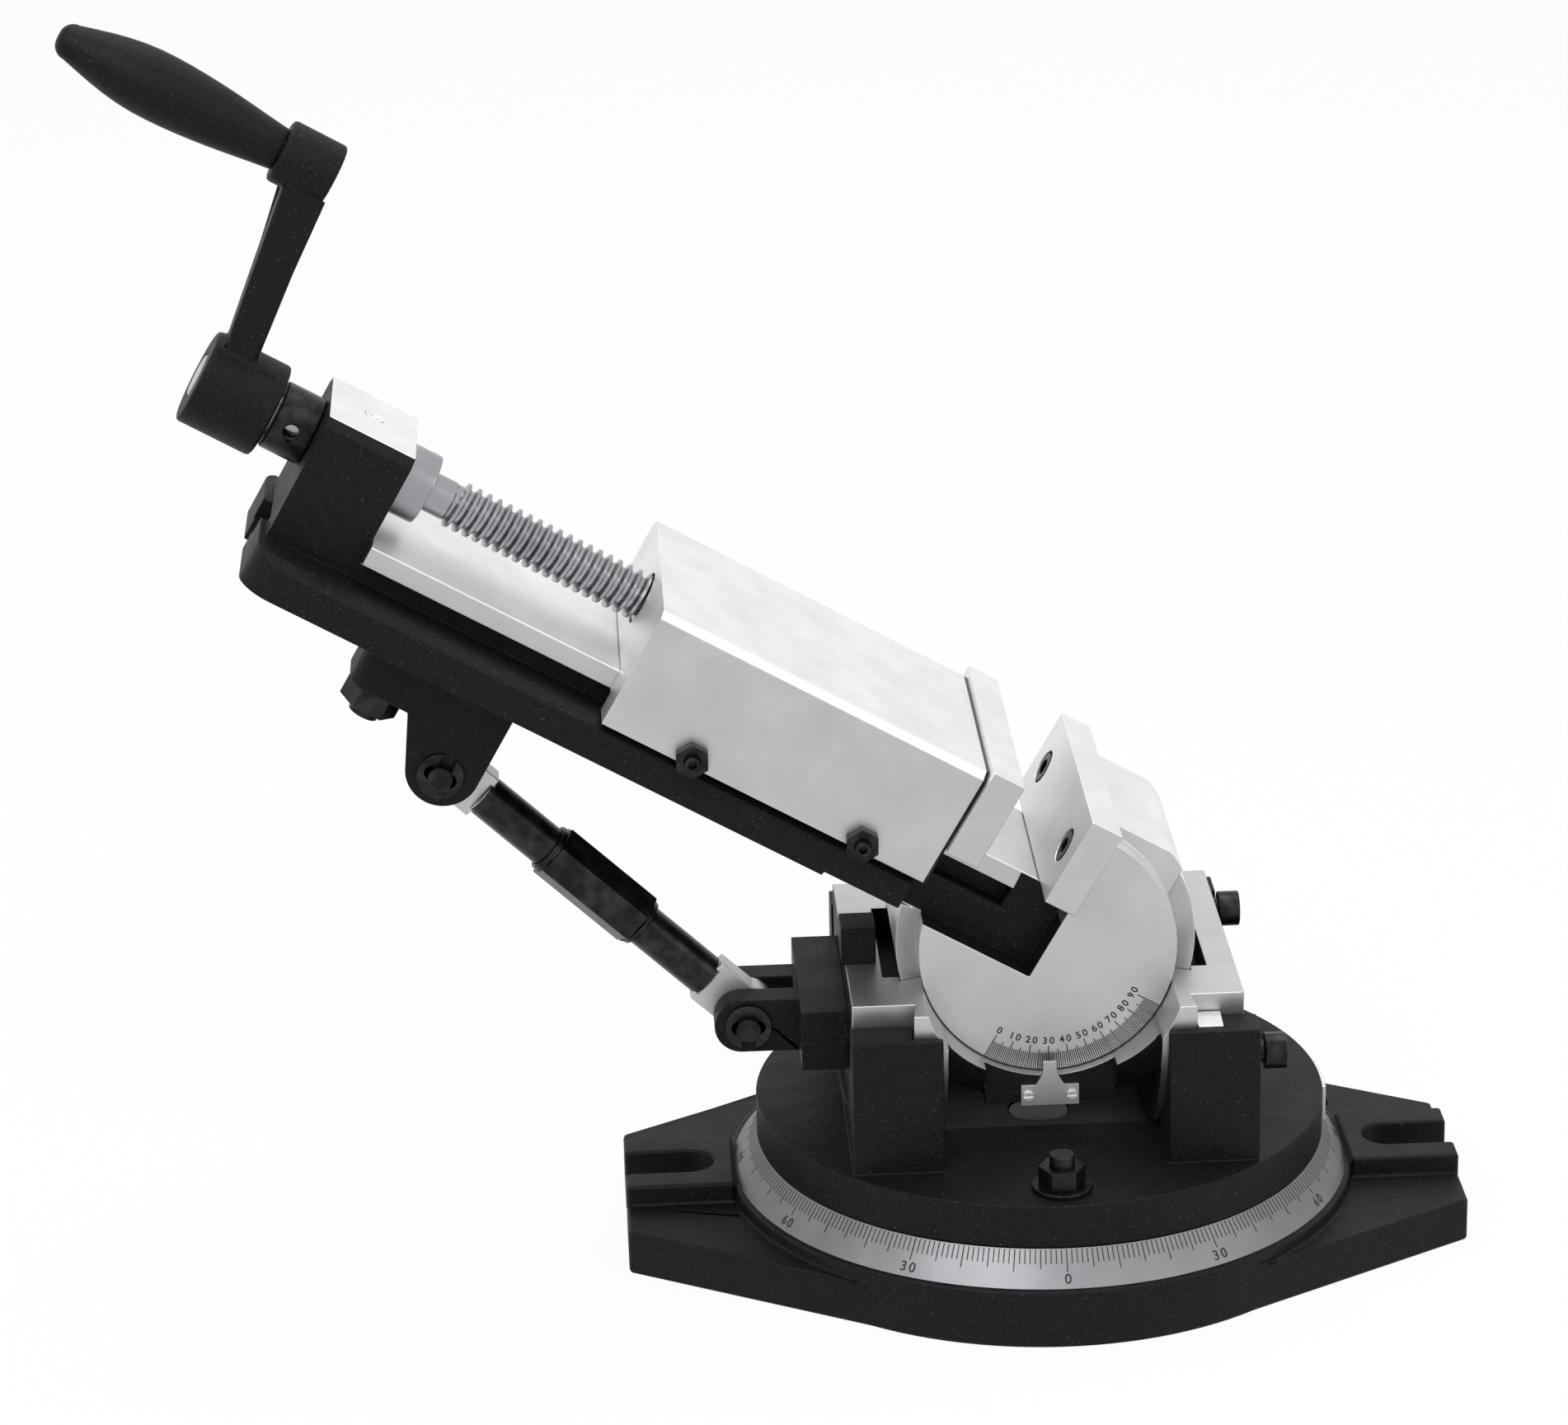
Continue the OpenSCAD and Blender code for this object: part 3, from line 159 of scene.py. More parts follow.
def crinkle_enamel():
    """Black crinkle enamel on cast iron: grains of under a millimetre over a slow casting wave, and painted
    glints as rare pale dots.
    """
    material, tree, spot, skin = blank("crinkle_enamel")
    grain = noise(tree, spot, ENAMEL_GRAIN, 3.0)
    wave = noise(tree, spot, CASTING_WAVE)
    pits = add(tree, "ShaderNodeTexVoronoi", {"Scale": 1 / ENAMEL_PIT}, {"Vector": spot})
    # Painted highlight: rare tiny cells take the pale glint colour in place of real glints of light.
    glint_cells = add(tree, "ShaderNodeTexVoronoi", {"Scale": 1 / PAINTED_GLINT_CELL}, {"Vector": spot})
    cell_random = add(tree, "ShaderNodeSeparateColor", {}, {"Color": glint_cells.outputs["Color"]})
    painted_glint_mask = add(tree, "ShaderNodeMath", {"operation": "GREATER_THAN", 1: 1 - PAINTED_GLINT_SHARE},
               {0: cell_random.outputs["Red"]})
    tone = two_tones(tree, grain, (ENAMEL_BLACK, ENAMEL_WORN), WORN_STRETCH)
    tone_with_painted_glints = add(tree, "ShaderNodeMix", {"data_type": "RGBA", 7: linear(PAINTED_GLINT)},
                 {0: painted_glint_mask.outputs["Value"], 6: tone})
    slow = relief(tree, wave, WAVE_RELIEF)
    fine = relief(tree, grain, GRAIN_RELIEF, slow)
    deep = relief(tree, pits.outputs["Distance"], PIT_RELIEF, fine)
    coat(tree, skin,
         {"Base Color": tone_with_painted_glints.outputs[2], "Normal": deep,
          "Roughness": spread(tree, wave, *ENAMEL_DULLNESS)},
         {"Specular IOR Level": ENAMEL_SHINE})
    return material


def pick(obj):
    """Selects one object alone and makes it active."""
    bpy.ops.object.select_all(action="DESELECT")
    obj.hide_viewport = False
    obj.select_set(True)
    bpy.context.view_layer.objects.active = obj


def copy_of(node, name):
    """A loose copy of a solid, its triangles merged back into whole faces."""
    pick(frame["nodes"][node])
    bpy.ops.object.duplicate()
    piece = bpy.context.view_layer.objects.active
    bpy.ops.object.parent_clear(type="CLEAR")
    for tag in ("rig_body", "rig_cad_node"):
        del piece[tag]
    piece.name = name
    piece.data.materials.clear()
    bpy.ops.object.mode_set(mode="EDIT")
    bpy.ops.mesh.select_all(action="SELECT")
    bpy.ops.mesh.remove_doubles(threshold=WELD)
    bpy.ops.mesh.dissolve_limited(angle_limit=FLAT)
    bpy.ops.object.mode_set(mode="OBJECT")
    return piece


def apply_all(piece):
    """Applies every modifier of a piece, first to last."""
    pick(piece)
    for modifier in [m.name for m in piece.modifiers]:
        bpy.ops.object.modifier_apply(modifier=modifier)


def rounded(node, name, radius, finish, corner=CORNER, cuts=()):
    """A copy of a solid, its faces split at planes and its sharp edges rounded, that stands for it."""
    piece = copy_of(node, name)
    bpy.ops.object.mode_set(mode="EDIT")
    for spot, facing in cuts:
        bpy.ops.mesh.select_all(action="SELECT")
        bpy.ops.mesh.bisect(plane_co=spot, plane_no=facing)
    bpy.ops.object.mode_set(mode="OBJECT")
    edge = piece.modifiers.new("edge", "BEVEL")
    edge.width = radius
    edge.segments = 2
    edge.limit_method = "ANGLE"
    edge.angle_limit = math.radians(corner)
    edge.use_clamp_overlap = False
    apply_all(piece)
    bpy.ops.object.shade_smooth_by_angle(angle=math.radians(corner - SMOOTHING))
    level = piece.modifiers.new("level", "WEIGHTED_NORMAL")
    level.keep_sharp = True
    apply_all(piece)
    piece.data.materials.append(finish)
    stand_for(piece, node)
    return piece


def stand_for(piece, node):
    """Rides on the node's body and hides the node."""
    body = next(b for b, members in frame["record"]["behaviour"]["bodies"].items() if node in members)
    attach(piece, body)
    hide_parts(node)


enamel = crinkle_enamel()
rounded("base_casting", "base", BASE_EDGE, enamel)

# Swivel scale ring
# A turned steel ring with a sloping face, engraved with one-degree lines and numbers each thirty degrees.
# It is turned on a lathe, so fine rings run round it and it shines in a fan that turns with the light.
# WAVE_LENGTH is the length in metres of a wave texture's waves at a scale of 1.
RING_EDGE = 0.25 * MM
RING_SLOPE_IN = 8.6 * MM
RING_TONES = ("#6a6b6d", "#828385")
RING_DULLNESS = 0.42
RING_FAN = 0.6
TINT_CLOUD = 18 * MM
TURNING_LINE = 0.5 * MM
WAVE_LENGTH = 0.3
TURNING_WOBBLE = 0.4
TURNING_RELIEF = (0.05, 0.05 * MM)
INK = ("#141517", "#26272a")
INK_SPECK = 0.6 * MM
INK_DULLNESS = 0.6
LINE_W = 0.34 * MM
LINE_PROUD = 0.04 * MM
DEGREE_LINES = (1, 5, 10)
RING_LINES_DOWN = 0.5 * MM
RING_LINE_LENGTHS = (4.6 * MM, 6.2 * MM, 7.2 * MM)
RING_NUMBER_STEP = 30
RING_NUMBER_H = 3.3 * MM
RING_NUMBER_DOWN = 10.2 * MM
FONT_PER_DIGIT = 1.38
DIGIT_SPACE = 1.35
DIGIT_WEIGHT = 0.07 * MM


def turned_steel(name, tones, dullness, fan):
    """Turned steel with fine rings round an upright axis, and a fan of light across them."""
    material, tree, spot, skin = blank(name)
    tint = noise(tree, spot, TINT_CLOUD)
    rings = add(tree, "ShaderNodeTexWave",
                {"wave_type": "RINGS", "rings_direction": "Z", "Scale": WAVE_LENGTH / TURNING_LINE,
                 "Distortion": TURNING_WOBBLE}, {"Vector": spot})
    around = add(tree, "ShaderNodeTangent", {"direction_type": "RADIAL", "axis": "Z"})
    coat(tree, skin,
         {"Base Color": two_tones(tree, tint, tones), "Tangent": around.outputs["Tangent"],
          "Normal": relief(tree, rings.outputs["Fac"], TURNING_RELIEF)},
         {"Metallic": 1.0, "Roughness": dullness, "Anisotropic": fan})
    return material


def engraving_ink():
    """Black engraver's paint in the cut lines, matt and slightly uneven."""
    material, tree, spot, skin = blank("engraving_ink")
    speck = noise(tree, spot, INK_SPECK)
    coat(tree, skin, {"Base Color": two_tones(tree, speck, INK)}, {"Roughness": INK_DULLNESS})
    return material


def made_by(operator, **settings):
    """The object that an operator makes, with nothing else selected."""
    bpy.ops.object.select_all(action="DESELECT")
    operator(**settings)
    return bpy.context.active_object


def settle(piece, place):
    """Moves a piece to its place and writes the place into its mesh."""
    pick(piece)
    piece.matrix_world = place
    bpy.ops.object.transform_apply(location=True, rotation=True, scale=True)


def spun_lines(size, start, axis, steps, turn):
    """One engraved line, a flat bar at its place, copied round an axis."""
    piece = made_by(bpy.ops.mesh.primitive_cube_add, size=1)
    settle(piece, start @ Matrix.Diagonal((*size, 1)))
    bpy.ops.object.mode_set(mode="EDIT")
    bpy.ops.mesh.select_all(action="SELECT")
    bpy.ops.mesh.spin(steps=steps, dupli=True, angle=turn, center=(0, 0, 0), axis=axis)
    bpy.ops.object.mode_set(mode="OBJECT")
    return piece


def number(text, height, place):
    """A number as thin raised ink, centred on its place and facing its z."""
    piece = made_by(bpy.ops.object.text_add)
    piece.data.body = text
    piece.data.size = height * FONT_PER_DIGIT
    piece.data.align_x = "CENTER"
    piece.data.align_y = "CENTER"
    piece.data.space_character = DIGIT_SPACE
    piece.data.offset = DIGIT_WEIGHT
    piece.data.extrude = LINE_PROUD
    bpy.ops.object.convert(target="MESH")
    piece = bpy.context.active_object
    settle(piece, place)
    return piece


def joined(parts, name, body, finish):
    """Joins parts into one named piece that rides on a body."""
    bpy.ops.object.select_all(action="DESELECT")
    for part in parts:
        part.select_set(True)
    bpy.context.view_layer.objects.active = parts[0]
    bpy.ops.object.join()
    piece = bpy.context.active_object
    piece.name = name
    piece.data.materials.clear()
    piece.data.materials.append(finish)
    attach(piece, body)
    return piece


ring_low, ring_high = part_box("scale_ring")
ring_top = ring_high.x - RING_SLOPE_IN
ring_up = Vector((-RING_SLOPE_IN, 0, ring_high.z - ring_low.z)).normalized()
ring_out = Vector((ring_up.z, 0, -ring_up.x))
ink = engraving_ink()
rounded("scale_ring", "swivel_scale_ring", RING_EDGE,
        turned_steel("turned_steel", RING_TONES, RING_DULLNESS, RING_FAN))


def on_ring(angle, down):
    """Matrix of a spot on the ring's sloping face, by its angle from the front and its way down."""
    face = Matrix((Vector((0, 1, 0)), ring_up, ring_out)).transposed().to_4x4()
    face.translation = Vector((ring_top, 0, ring_high.z)) - ring_up * down + ring_out * LINE_PROUD / 2
    return Matrix.Rotation(math.radians(angle - 90), 4, "Z") @ face


ring_marks = []
for every, length in zip(DEGREE_LINES, RING_LINE_LENGTHS):
    first = on_ring(0, RING_LINES_DOWN + length / 2)
    ring_marks.append(spun_lines((LINE_W, length, LINE_PROUD), first, (0, 0, 1), 360 // every, math.tau))
for angle in range(RING_NUMBER_STEP - 180, 181, RING_NUMBER_STEP):
    reading = min(abs(angle), 180 - abs(angle))
    ring_marks.append(number(str(reading), RING_NUMBER_H, on_ring(angle, RING_NUMBER_DOWN)))
joined(ring_marks, "swivel_scale_marks", "base", ink)

# Turntable and its clamp bolts
# A second iron casting with two walls that carry the cradle, in the same black crinkle enamel.
# Its bolts and nuts are blackened steel, with a thin oil film that gives them a soft shine.
TABLE_EDGE = 0.5 * MM
BOLT_EDGE = 0.3 * MM
WASHER_EDGE = 0.25 * MM
OXIDE = ("#1d1e20", "#3a3c3f")
OXIDE_RUB = 5 * MM
RUB_STRETCH = (0.4, 0.8)
OXIDE_DULLNESS = (0.26, 0.42)
OXIDE_METAL = 0.85


def black_oxide():
    """Oil-blackened steel: nearly black, half glossy, a little greyer where hands and spanners rub."""
    material, tree, spot, skin = blank("black_oxide")
    rub = noise(tree, spot, OXIDE_RUB, 3.0)
    coat(tree, skin,
         {"Base Color": two_tones(tree, rub, OXIDE, RUB_STRETCH),
          "Roughness": spread(tree, rub, *OXIDE_DULLNESS)},
         {"Metallic": OXIDE_METAL})
    return material


def blackened(nodes, radius):
    """Blackened steel pieces for these solids, all with the same small edge."""
    for node in nodes:
        rounded(node, node + "_blackened", radius, oxide)


oxide = black_oxide()
rounded("turntable", "turntable_casting", TABLE_EDGE, enamel)
blackened(("swivel_t_bolts", "swivel_nuts"), BOLT_EDGE)
blackened(("swivel_washers",), WASHER_EDGE)
blackened(("roll_clamp_screw",), BOLT_EDGE)

# Roll gib and tilt gib
# Two steel strips that take up the play of the slides. Grinding leaves straight hairlines one way.
# Ground steel is pale and bright, and steel that is only milled stays a plainer grey. On one steel part the
# two tones also paint light and shade: the pale one on faces that look up, the grey one on its sides.
GIB_EDGE = 0.2 * MM
GROUND_AND_LIT_TOP = ("#dadbdb", "#e9eaea")
MILLED_AND_SHADED_SIDE = ("#b6b7b8", "#c4c5c6")
TONE_STRETCH = (0.4, 1.0)
STEEL_DULLNESS = (0.38, 0.46)
HAIRLINE = 0.35 * MM
HAIRLINE_SHARE = 0.5
HAIRLINE_RELIEF = (0.05, 0.02 * MM)
STEEL_CLOUD = 16 * MM
ALONG_X = (0.04, 1, 1)
ROUND_X = (1, 0.04, 0.04)
ROUND_Y = (0.04, 1, 0.04)
TILT = 30
BED_TURN = (0, math.radians(-TILT), 0)


def machined_steel(name, tones, stretch, turn=(0, 0, 0)):
    """Machined steel between two tones, with hairlines along the stretched axes of a turned frame."""
    material, tree, spot, skin = blank(name)
    lie = add(tree, "ShaderNodeMapping", {"Rotation": turn, "Scale": stretch}, {"Vector": spot})
    hair = noise(tree, lie.outputs["Vector"], HAIRLINE)
    cloud = noise(tree, spot, STEEL_CLOUD, 3.0)
    both = add(tree, "ShaderNodeMath", {"operation": "MULTIPLY_ADD", 1: HAIRLINE_SHARE},
               {0: hair, 2: cloud}).outputs["Value"]
    coat(tree, skin,
         {"Base Color": two_tones(tree, both, tones, TONE_STRETCH),
          "Roughness": spread(tree, both, *STEEL_DULLNESS),
          "Normal": relief(tree, hair, HAIRLINE_RELIEF)},
         {"Metallic": 1.0})
    return material


ground_and_lit_top = machined_steel("ground_and_lit_top_steel", GROUND_AND_LIT_TOP, ALONG_X, BED_TURN)
milled_and_shaded_side = machined_steel("milled_and_shaded_side_steel", MILLED_AND_SHADED_SIDE, ALONG_X, BED_TURN)
round_x = machined_steel("steel_turned_about_x", MILLED_AND_SHADED_SIDE, ROUND_X)
round_y = machined_steel("steel_turned_about_y", MILLED_AND_SHADED_SIDE, ROUND_Y)
rounded("roll_gib", "roll_gib_ground", GIB_EDGE, ground_and_lit_top)
rounded("tilt_gib", "tilt_gib_ground", GIB_EDGE, milled_and_shaded_side)

# Roll cradle
# A casting with bright bearing faces about both axes, while the bowl between them stays enamelled.
# Its slides are turned about the roll axis and its bore about the drum's, so each shines in its own bands.
# CLOSE, NEAR and LOOSE say how near to a surface a face still counts as part of it.
CRADLE_EDGE = 0.4 * MM
joints = {joint["name"]: joint for joint in frame["record"]["behaviour"]["joints"]}
ROLL_H = joints["cradle_roll"]["pos_m"][2]
DRUM = Vector(joints["vise_tilt"]["pos_m"])
FLANGE_R = 52 * MM
TONGUE_NECK = 44 * MM
TONGUE_IN = 34 * MM
TONGUE_STEP = 2 * MM
ROLL_TOP = 97.7 * MM
BORE_RADII = (41.8 * MM, 48.6 * MM)
CLOSE = 0.3 * MM
NEAR = 0.5 * MM
LOOSE = 0.6 * MM
HALF = 0.5
SLIDE_LOOK = 0.7
TONGUE_LOOK = 0.9


def finish_faces(piece, finishes, choose):
    """Gives each face the finish that a rule picks from its centre and its normal."""
    piece.data.materials.clear()
    for finish in finishes:
        piece.data.materials.append(finish)
    for face in piece.data.polygons:
        face.material_index = finishes.index(choose(face.center, face.normal))


def cradle_finish(spot, facing):
    """Bright on the flat tops, the slides about the roll axis and the drum's bore, black elsewhere."""
    away = math.hypot(spot.y, spot.z - ROLL_H)
    from_drum = math.hypot(spot.x - DRUM.x, spot.z - DRUM.z)
    if spot.z > ROLL_TOP - CLOSE and facing.z > HALF:
        return milled_and_shaded_side
    if abs(facing.y) < HALF and any(abs(from_drum - radius) < LOOSE for radius in BORE_RADII):
        return round_y
    out = abs(spot.x)
    look = abs(facing.x)
    if out > TONGUE_NECK - NEAR and abs(away - FLANGE_R) < NEAR and look < SLIDE_LOOK:
        return round_x
    if away > FLANGE_R + CLOSE and TONGUE_IN < out < TONGUE_NECK + TONGUE_STEP and look < TONGUE_LOOK:
        return round_x
    return enamel


cradle_piece = rounded("cradle", "cradle_casting", CRADLE_EDGE, enamel)
finish_faces(cradle_piece, (enamel, milled_and_shaded_side, round_x, round_y), cradle_finish)
blackened(("tilt_clamp_screw",), BOLT_EDGE)

# Stop block and brace foot
# A block on the cradle's left shoulder, and a forked foot that is screwed to its left end for the brace.
# Both are iron in the same black enamel.
STOP_EDGE = 0.5 * MM
FOOT_EDGE = 0.4 * MM
rounded("stop_block", "stop_block_black", STOP_EDGE, enamel)
rounded("brace_foot", "brace_foot_casting", FOOT_EDGE, enamel)

# Pointer and index plate
# Two small bright plates, one that points at the tilt scale and one that marks the swivel scale.
# The pointer's screws are bright, and those of the index plate are dark.
POINTER_EDGE = 0.15 * MM
INDEX_EDGE = 0.2 * MM
rounded("tilt_pointer", "tilt_pointer_plate", POINTER_EDGE, milled_and_shaded_side)
rounded("pointer_screws", "pointer_screws_bright", POINTER_EDGE, ground_and_lit_top)
rounded("index_plate", "index_plate_bright", INDEX_EDGE, ground_and_lit_top)
rounded("index_plate_screws", "index_plate_screws_dark", POINTER_EDGE, oxide)

# Turnbuckle brace
# Two round rods with flat eyes and a hexagon sleeve, blackened all over, with the eyes' necks left bright.
# Its lower pin sits in the foot, and its upper one in a bracket that a T-bolt clamps under the bed.
PIN_EDGE = 0.2 * MM
ROD_EDGE = 0.4 * MM
SLEEVE_EDGE = 0.5 * MM
BRACKET_EDGE = 0.4 * MM
BLADE_REACH = 27 * MM
blackened(("foot_screws", "lower_pin", "lower_pin_clips"), PIN_EDGE)
for rod, pin in (("lower_rod", "lower_pin"), ("upper_rod", "upper_pin")):
    rod_piece = rounded(rod, rod + "_blackened", ROD_EDGE, oxide)
    eye = sum(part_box(pin), Vector()) / 2
    finish_faces(rod_piece, (oxide, milled_and_shaded_side),
                 lambda spot, facing: milled_and_shaded_side if (spot - eye).length < BLADE_REACH else oxide)
blackened(("turnbuckle_sleeve",), SLEEVE_EDGE)
rounded("brace_bracket", "brace_bracket_casting", BRACKET_EDGE, enamel)
blackened(("upper_pin", "upper_pin_clips", "bracket_t_bolt", "bracket_nut"), PIN_EDGE)

# Vise body
# One iron casting: the drum, the fixed jaw's block, the long bed, its T-shaped rail and the bearing block.
# The drum, the rail and the tops are machined bright, and the rest keeps its black enamel.
# Its places are measured from the drum's axis: u along the bed, v across it and w up from it.
VISE_EDGE = 0.4 * MM
JAW_PLATE_EDGE = 0.4 * MM
OIL_BALL_EDGE = 0.1 * MM
VISE = Matrix.Translation(DRUM) @ Matrix.Rotation(math.radians(TILT), 4, "Y")
TO_VISE = VISE.inverted()
DISC_FACE = 41.2 * MM
DISC_R = 41.5 * MM
DRUM_END_U = -49.2 * MM
NOTCH_FACE = 30 * MM
JAW_BACK = -0.8 * MM
RAIL_LOW = 9.7 * MM
RAIL_END = -17.8 * MM
RAIL_TOP = 16.4 * MM
RAIL_SKIN = 0.4 * MM
BEARING_U = -251.3 * MM
BEARING_TOP = 45.9 * MM
BEARING_FOOT = 4 * MM
SHOULDER = 1 * MM
TOP_LOOK = 0.4


def top_or_side(spot, facing):
    """The pale ground tone on faces that look up and the darker milled one on the others: painted light on
    tops, painted shade on sides.
    """
    return ground_and_lit_top if facing.z > TOP_LOOK else milled_and_shaded_side


def vise_finish(spot, facing):
    """Bright on the drum, the rail's flange, the fixed jaw's block and the bearing block's top."""
    u, v, w = TO_VISE @ spot
    up = (TO_VISE.to_3x3() @ facing).z
    side = abs(v)
    if u < BEARING_U + NEAR and w > RAIL_TOP - BEARING_FOOT:
        return ground_and_lit_top if w > BEARING_TOP - LOOSE and up > HALF else enamel
    # Painted light and shade: the fixed jaw's block takes the pale tone on its top and the darker one on
    # its sides.
    if u > JAW_BACK and w > RAIL_TOP - SHOULDER and side < DISC_FACE - SHOULDER:
        return ground_and_lit_top if up > HALF else round_y
    if abs(side - DISC_FACE) < NEAR and math.hypot(u, w) < DISC_R + SHOULDER:
        return milled_and_shaded_side
    if math.hypot(u, w) > DISC_R - LOOSE and side < DISC_FACE and u > DRUM_END_U:
        return round_y
    # Painted light and shade: the rail's top takes the pale tone and its flange's sides the darker one.
    if w > RAIL_TOP - RAIL_SKIN and side < NOTCH_FACE + LOOSE:
        return ground_and_lit_top
    if w > RAIL_LOW and abs(side - NOTCH_FACE) < LOOSE and u < RAIL_END:
        return milled_and_shaded_side
    return enamel


def across_bed(u):
    """The plane across the bed at u, as a point on it and its normal."""
    return VISE @ Vector((u, 0, 0)), VISE.to_3x3() @ Vector((1, 0, 0))


rail_low_plane = (VISE @ Vector((0, 0, RAIL_LOW)), VISE.to_3x3() @ Vector((0, 0, 1)))
vise_piece = rounded("vise_body", "vise_casting", VISE_EDGE, enamel,
                     cuts=(across_bed(BEARING_U), across_bed(RAIL_END), rail_low_plane))
finish_faces(vise_piece, (enamel, ground_and_lit_top, milled_and_shaded_side, round_y), vise_finish)
rounded("oil_ball", "oil_ball_bright", OIL_BALL_EDGE, ground_and_lit_top)
fixed_plate_piece = rounded("fixed_jaw_plate", "fixed_jaw_plate_ground", JAW_PLATE_EDGE, ground_and_lit_top)
finish_faces(fixed_plate_piece, (milled_and_shaded_side, ground_and_lit_top), top_or_side)
blackened(("fixed_jaw_screws",), BOLT_EDGE)

# Tilt scale on the drum's front face
# Engraved on the disc: one-degree lines at the rim from 0 to 90, with numbers each ten degrees inside them.
DISC_SPAN = 90
DISC_LINES_IN = 0.3 * MM
DISC_LINE_LENGTHS = (5.6 * MM, 6.6 * MM, 8.0 * MM)
DISC_NUMBER_STEP = 10
DISC_NUMBER_H = 2.4 * MM
DISC_NUMBER_IN = 10.0 * MM


def on_disc(reading, inward):
    """Matrix of a spot on the disc's front face about the drum's axis, by its reading and its way in."""
    turn = math.radians(reading - TILT)
    up = Vector((-math.sin(turn), 0, math.cos(turn)))
    face = Matrix((Vector((up.z, 0, -up.x)), up, Vector((0, -1, 0)))).transposed().to_4x4()
    face.translation = Vector((0, -DISC_FACE - LINE_PROUD / 2, 0)) - up * (DISC_R - inward)
    return face


disc_marks = []
drum_axis = Matrix.Translation(DRUM)
for every, length in zip(DEGREE_LINES, DISC_LINE_LENGTHS):
    first = on_disc(0, DISC_LINES_IN + length / 2)
    lines = spun_lines((LINE_W, length, LINE_PROUD), first, (0, 1, 0), DISC_SPAN // every,
                       math.radians(DISC_SPAN))
    settle(lines, drum_axis)
    disc_marks.append(lines)
for reading in range(0, DISC_SPAN + 1, DISC_NUMBER_STEP):
    disc_marks.append(number(str(reading), DISC_NUMBER_H, drum_axis @ on_disc(reading, DISC_NUMBER_IN)))
joined(disc_marks, "tilt_scale_marks", "vise_body", ink)

# Moving jaw
# A steel block on the rail with its hardened plate, keepers under the rail and set screws in its sides.
# The block is bright all over, with hairlines along the bed, its top painted paler and its sides darker as
# light and shade.
# Its narrow front end is painted black as the shadow of the gap where the plate seats.
BLOCK_EDGE = 0.4 * MM
KEEPER_EDGE = 0.3 * MM
SET_SCREW_EDGE = 0.25 * MM
# Where the painted shadow of the gap behind the plate begins along the bed.
SHADOW_GAP_U = -48.5 * MM


def block_finish(spot, facing):
    """The paler tone on faces that look up and the darker on the others, as painted light and shade, and
    painted shadow at the end behind the plate.
    """
    return oxide if (TO_VISE @ spot).x > SHADOW_GAP_U else top_or_side(spot, facing)


block_piece = rounded("moving_jaw", "moving_jaw_block", BLOCK_EDGE, ground_and_lit_top, cuts=(across_bed(SHADOW_GAP_U),))
finish_faces(block_piece, (milled_and_shaded_side, ground_and_lit_top, oxide), block_finish)
plate_piece = rounded("moving_jaw_plate", "moving_jaw_plate_ground", JAW_PLATE_EDGE, ground_and_lit_top)
finish_faces(plate_piece, (milled_and_shaded_side, ground_and_lit_top), top_or_side)
rounded("jaw_keepers", "jaw_keepers_ground", KEEPER_EDGE, milled_and_shaded_side)
blackened(("moving_jaw_screws", "keeper_set_screws", "keeper_lock_nuts"), SET_SCREW_EDGE)

# Jaw nut
# A plain round nut in a bored pocket of the moving block, which the lead screw pulls along the bed.
# It is tin bronze, and no outside view shows it.
NUT_EDGE = 0.2 * MM
BRONZE = ("#7c6136", "#a3814b")
BRONZE_STAIN = 4 * MM
BRONZE_DULLNESS = 0.38


def cast_bronze():
    """Turned tin bronze with a warm, slightly dull shine."""
    material, tree, spot, skin = blank("cast_bronze")
    stain = noise(tree, spot, BRONZE_STAIN, 3.0)
    coat(tree, skin, {"Base Color": two_tones(tree, stain, BRONZE)},
         {"Metallic": 1.0, "Roughness": BRONZE_DULLNESS})
    return material


rounded("jaw_nut", "jaw_nut_bronze", NUT_EDGE, cast_bronze())

# Lead screw
# A left-hand trapezoidal thread cut on a steel bar, lightly oiled, with two collars at its bearing.
# Behind the thread come a short neck and the journal, which the crank sits on.
SCREW_TONES = ("#85868a", "#adafb1")
SCREW_DULLNESS = 0.22
PITCH = 3.6 * MM
THREAD_R = 8 * MM
ROOT_R = THREAD_R - PITCH / 2
ROOT_HALF = 0.14 * PITCH
FLANK = 0.22 * PITCH
THREAD_STEPS = 48
THREAD_WELD = 0.01 * MM
THREAD_SMOOTH = math.radians(30)
SCREW_H = 32.2 * MM
THREAD_U = (-232.8 * MM, -116.8 * MM)
CORE_GAP = 0.02 * MM
NECK_START = -241.3 * MM
NECK_R = 6.5 * MM
NECK_OVERLAP = 0.4 * MM
JOURNAL_U = (-321.7 * MM, -240.8 * MM)
JOURNAL_R = 7 * MM
BAR_EDGE = 0.5 * MM
BAR_SIDES = 64
FRONT_COLLAR_EDGE = 0.5 * MM
REAR_COLLAR_EDGE = 0.6 * MM


def on_screw(u):
    """Matrix of a spot on the screw's axis, its z along the bed."""
    return VISE @ Matrix.Translation((u, 0, SCREW_H)) @ Matrix.Rotation(math.tau / 4, 4, "Y")


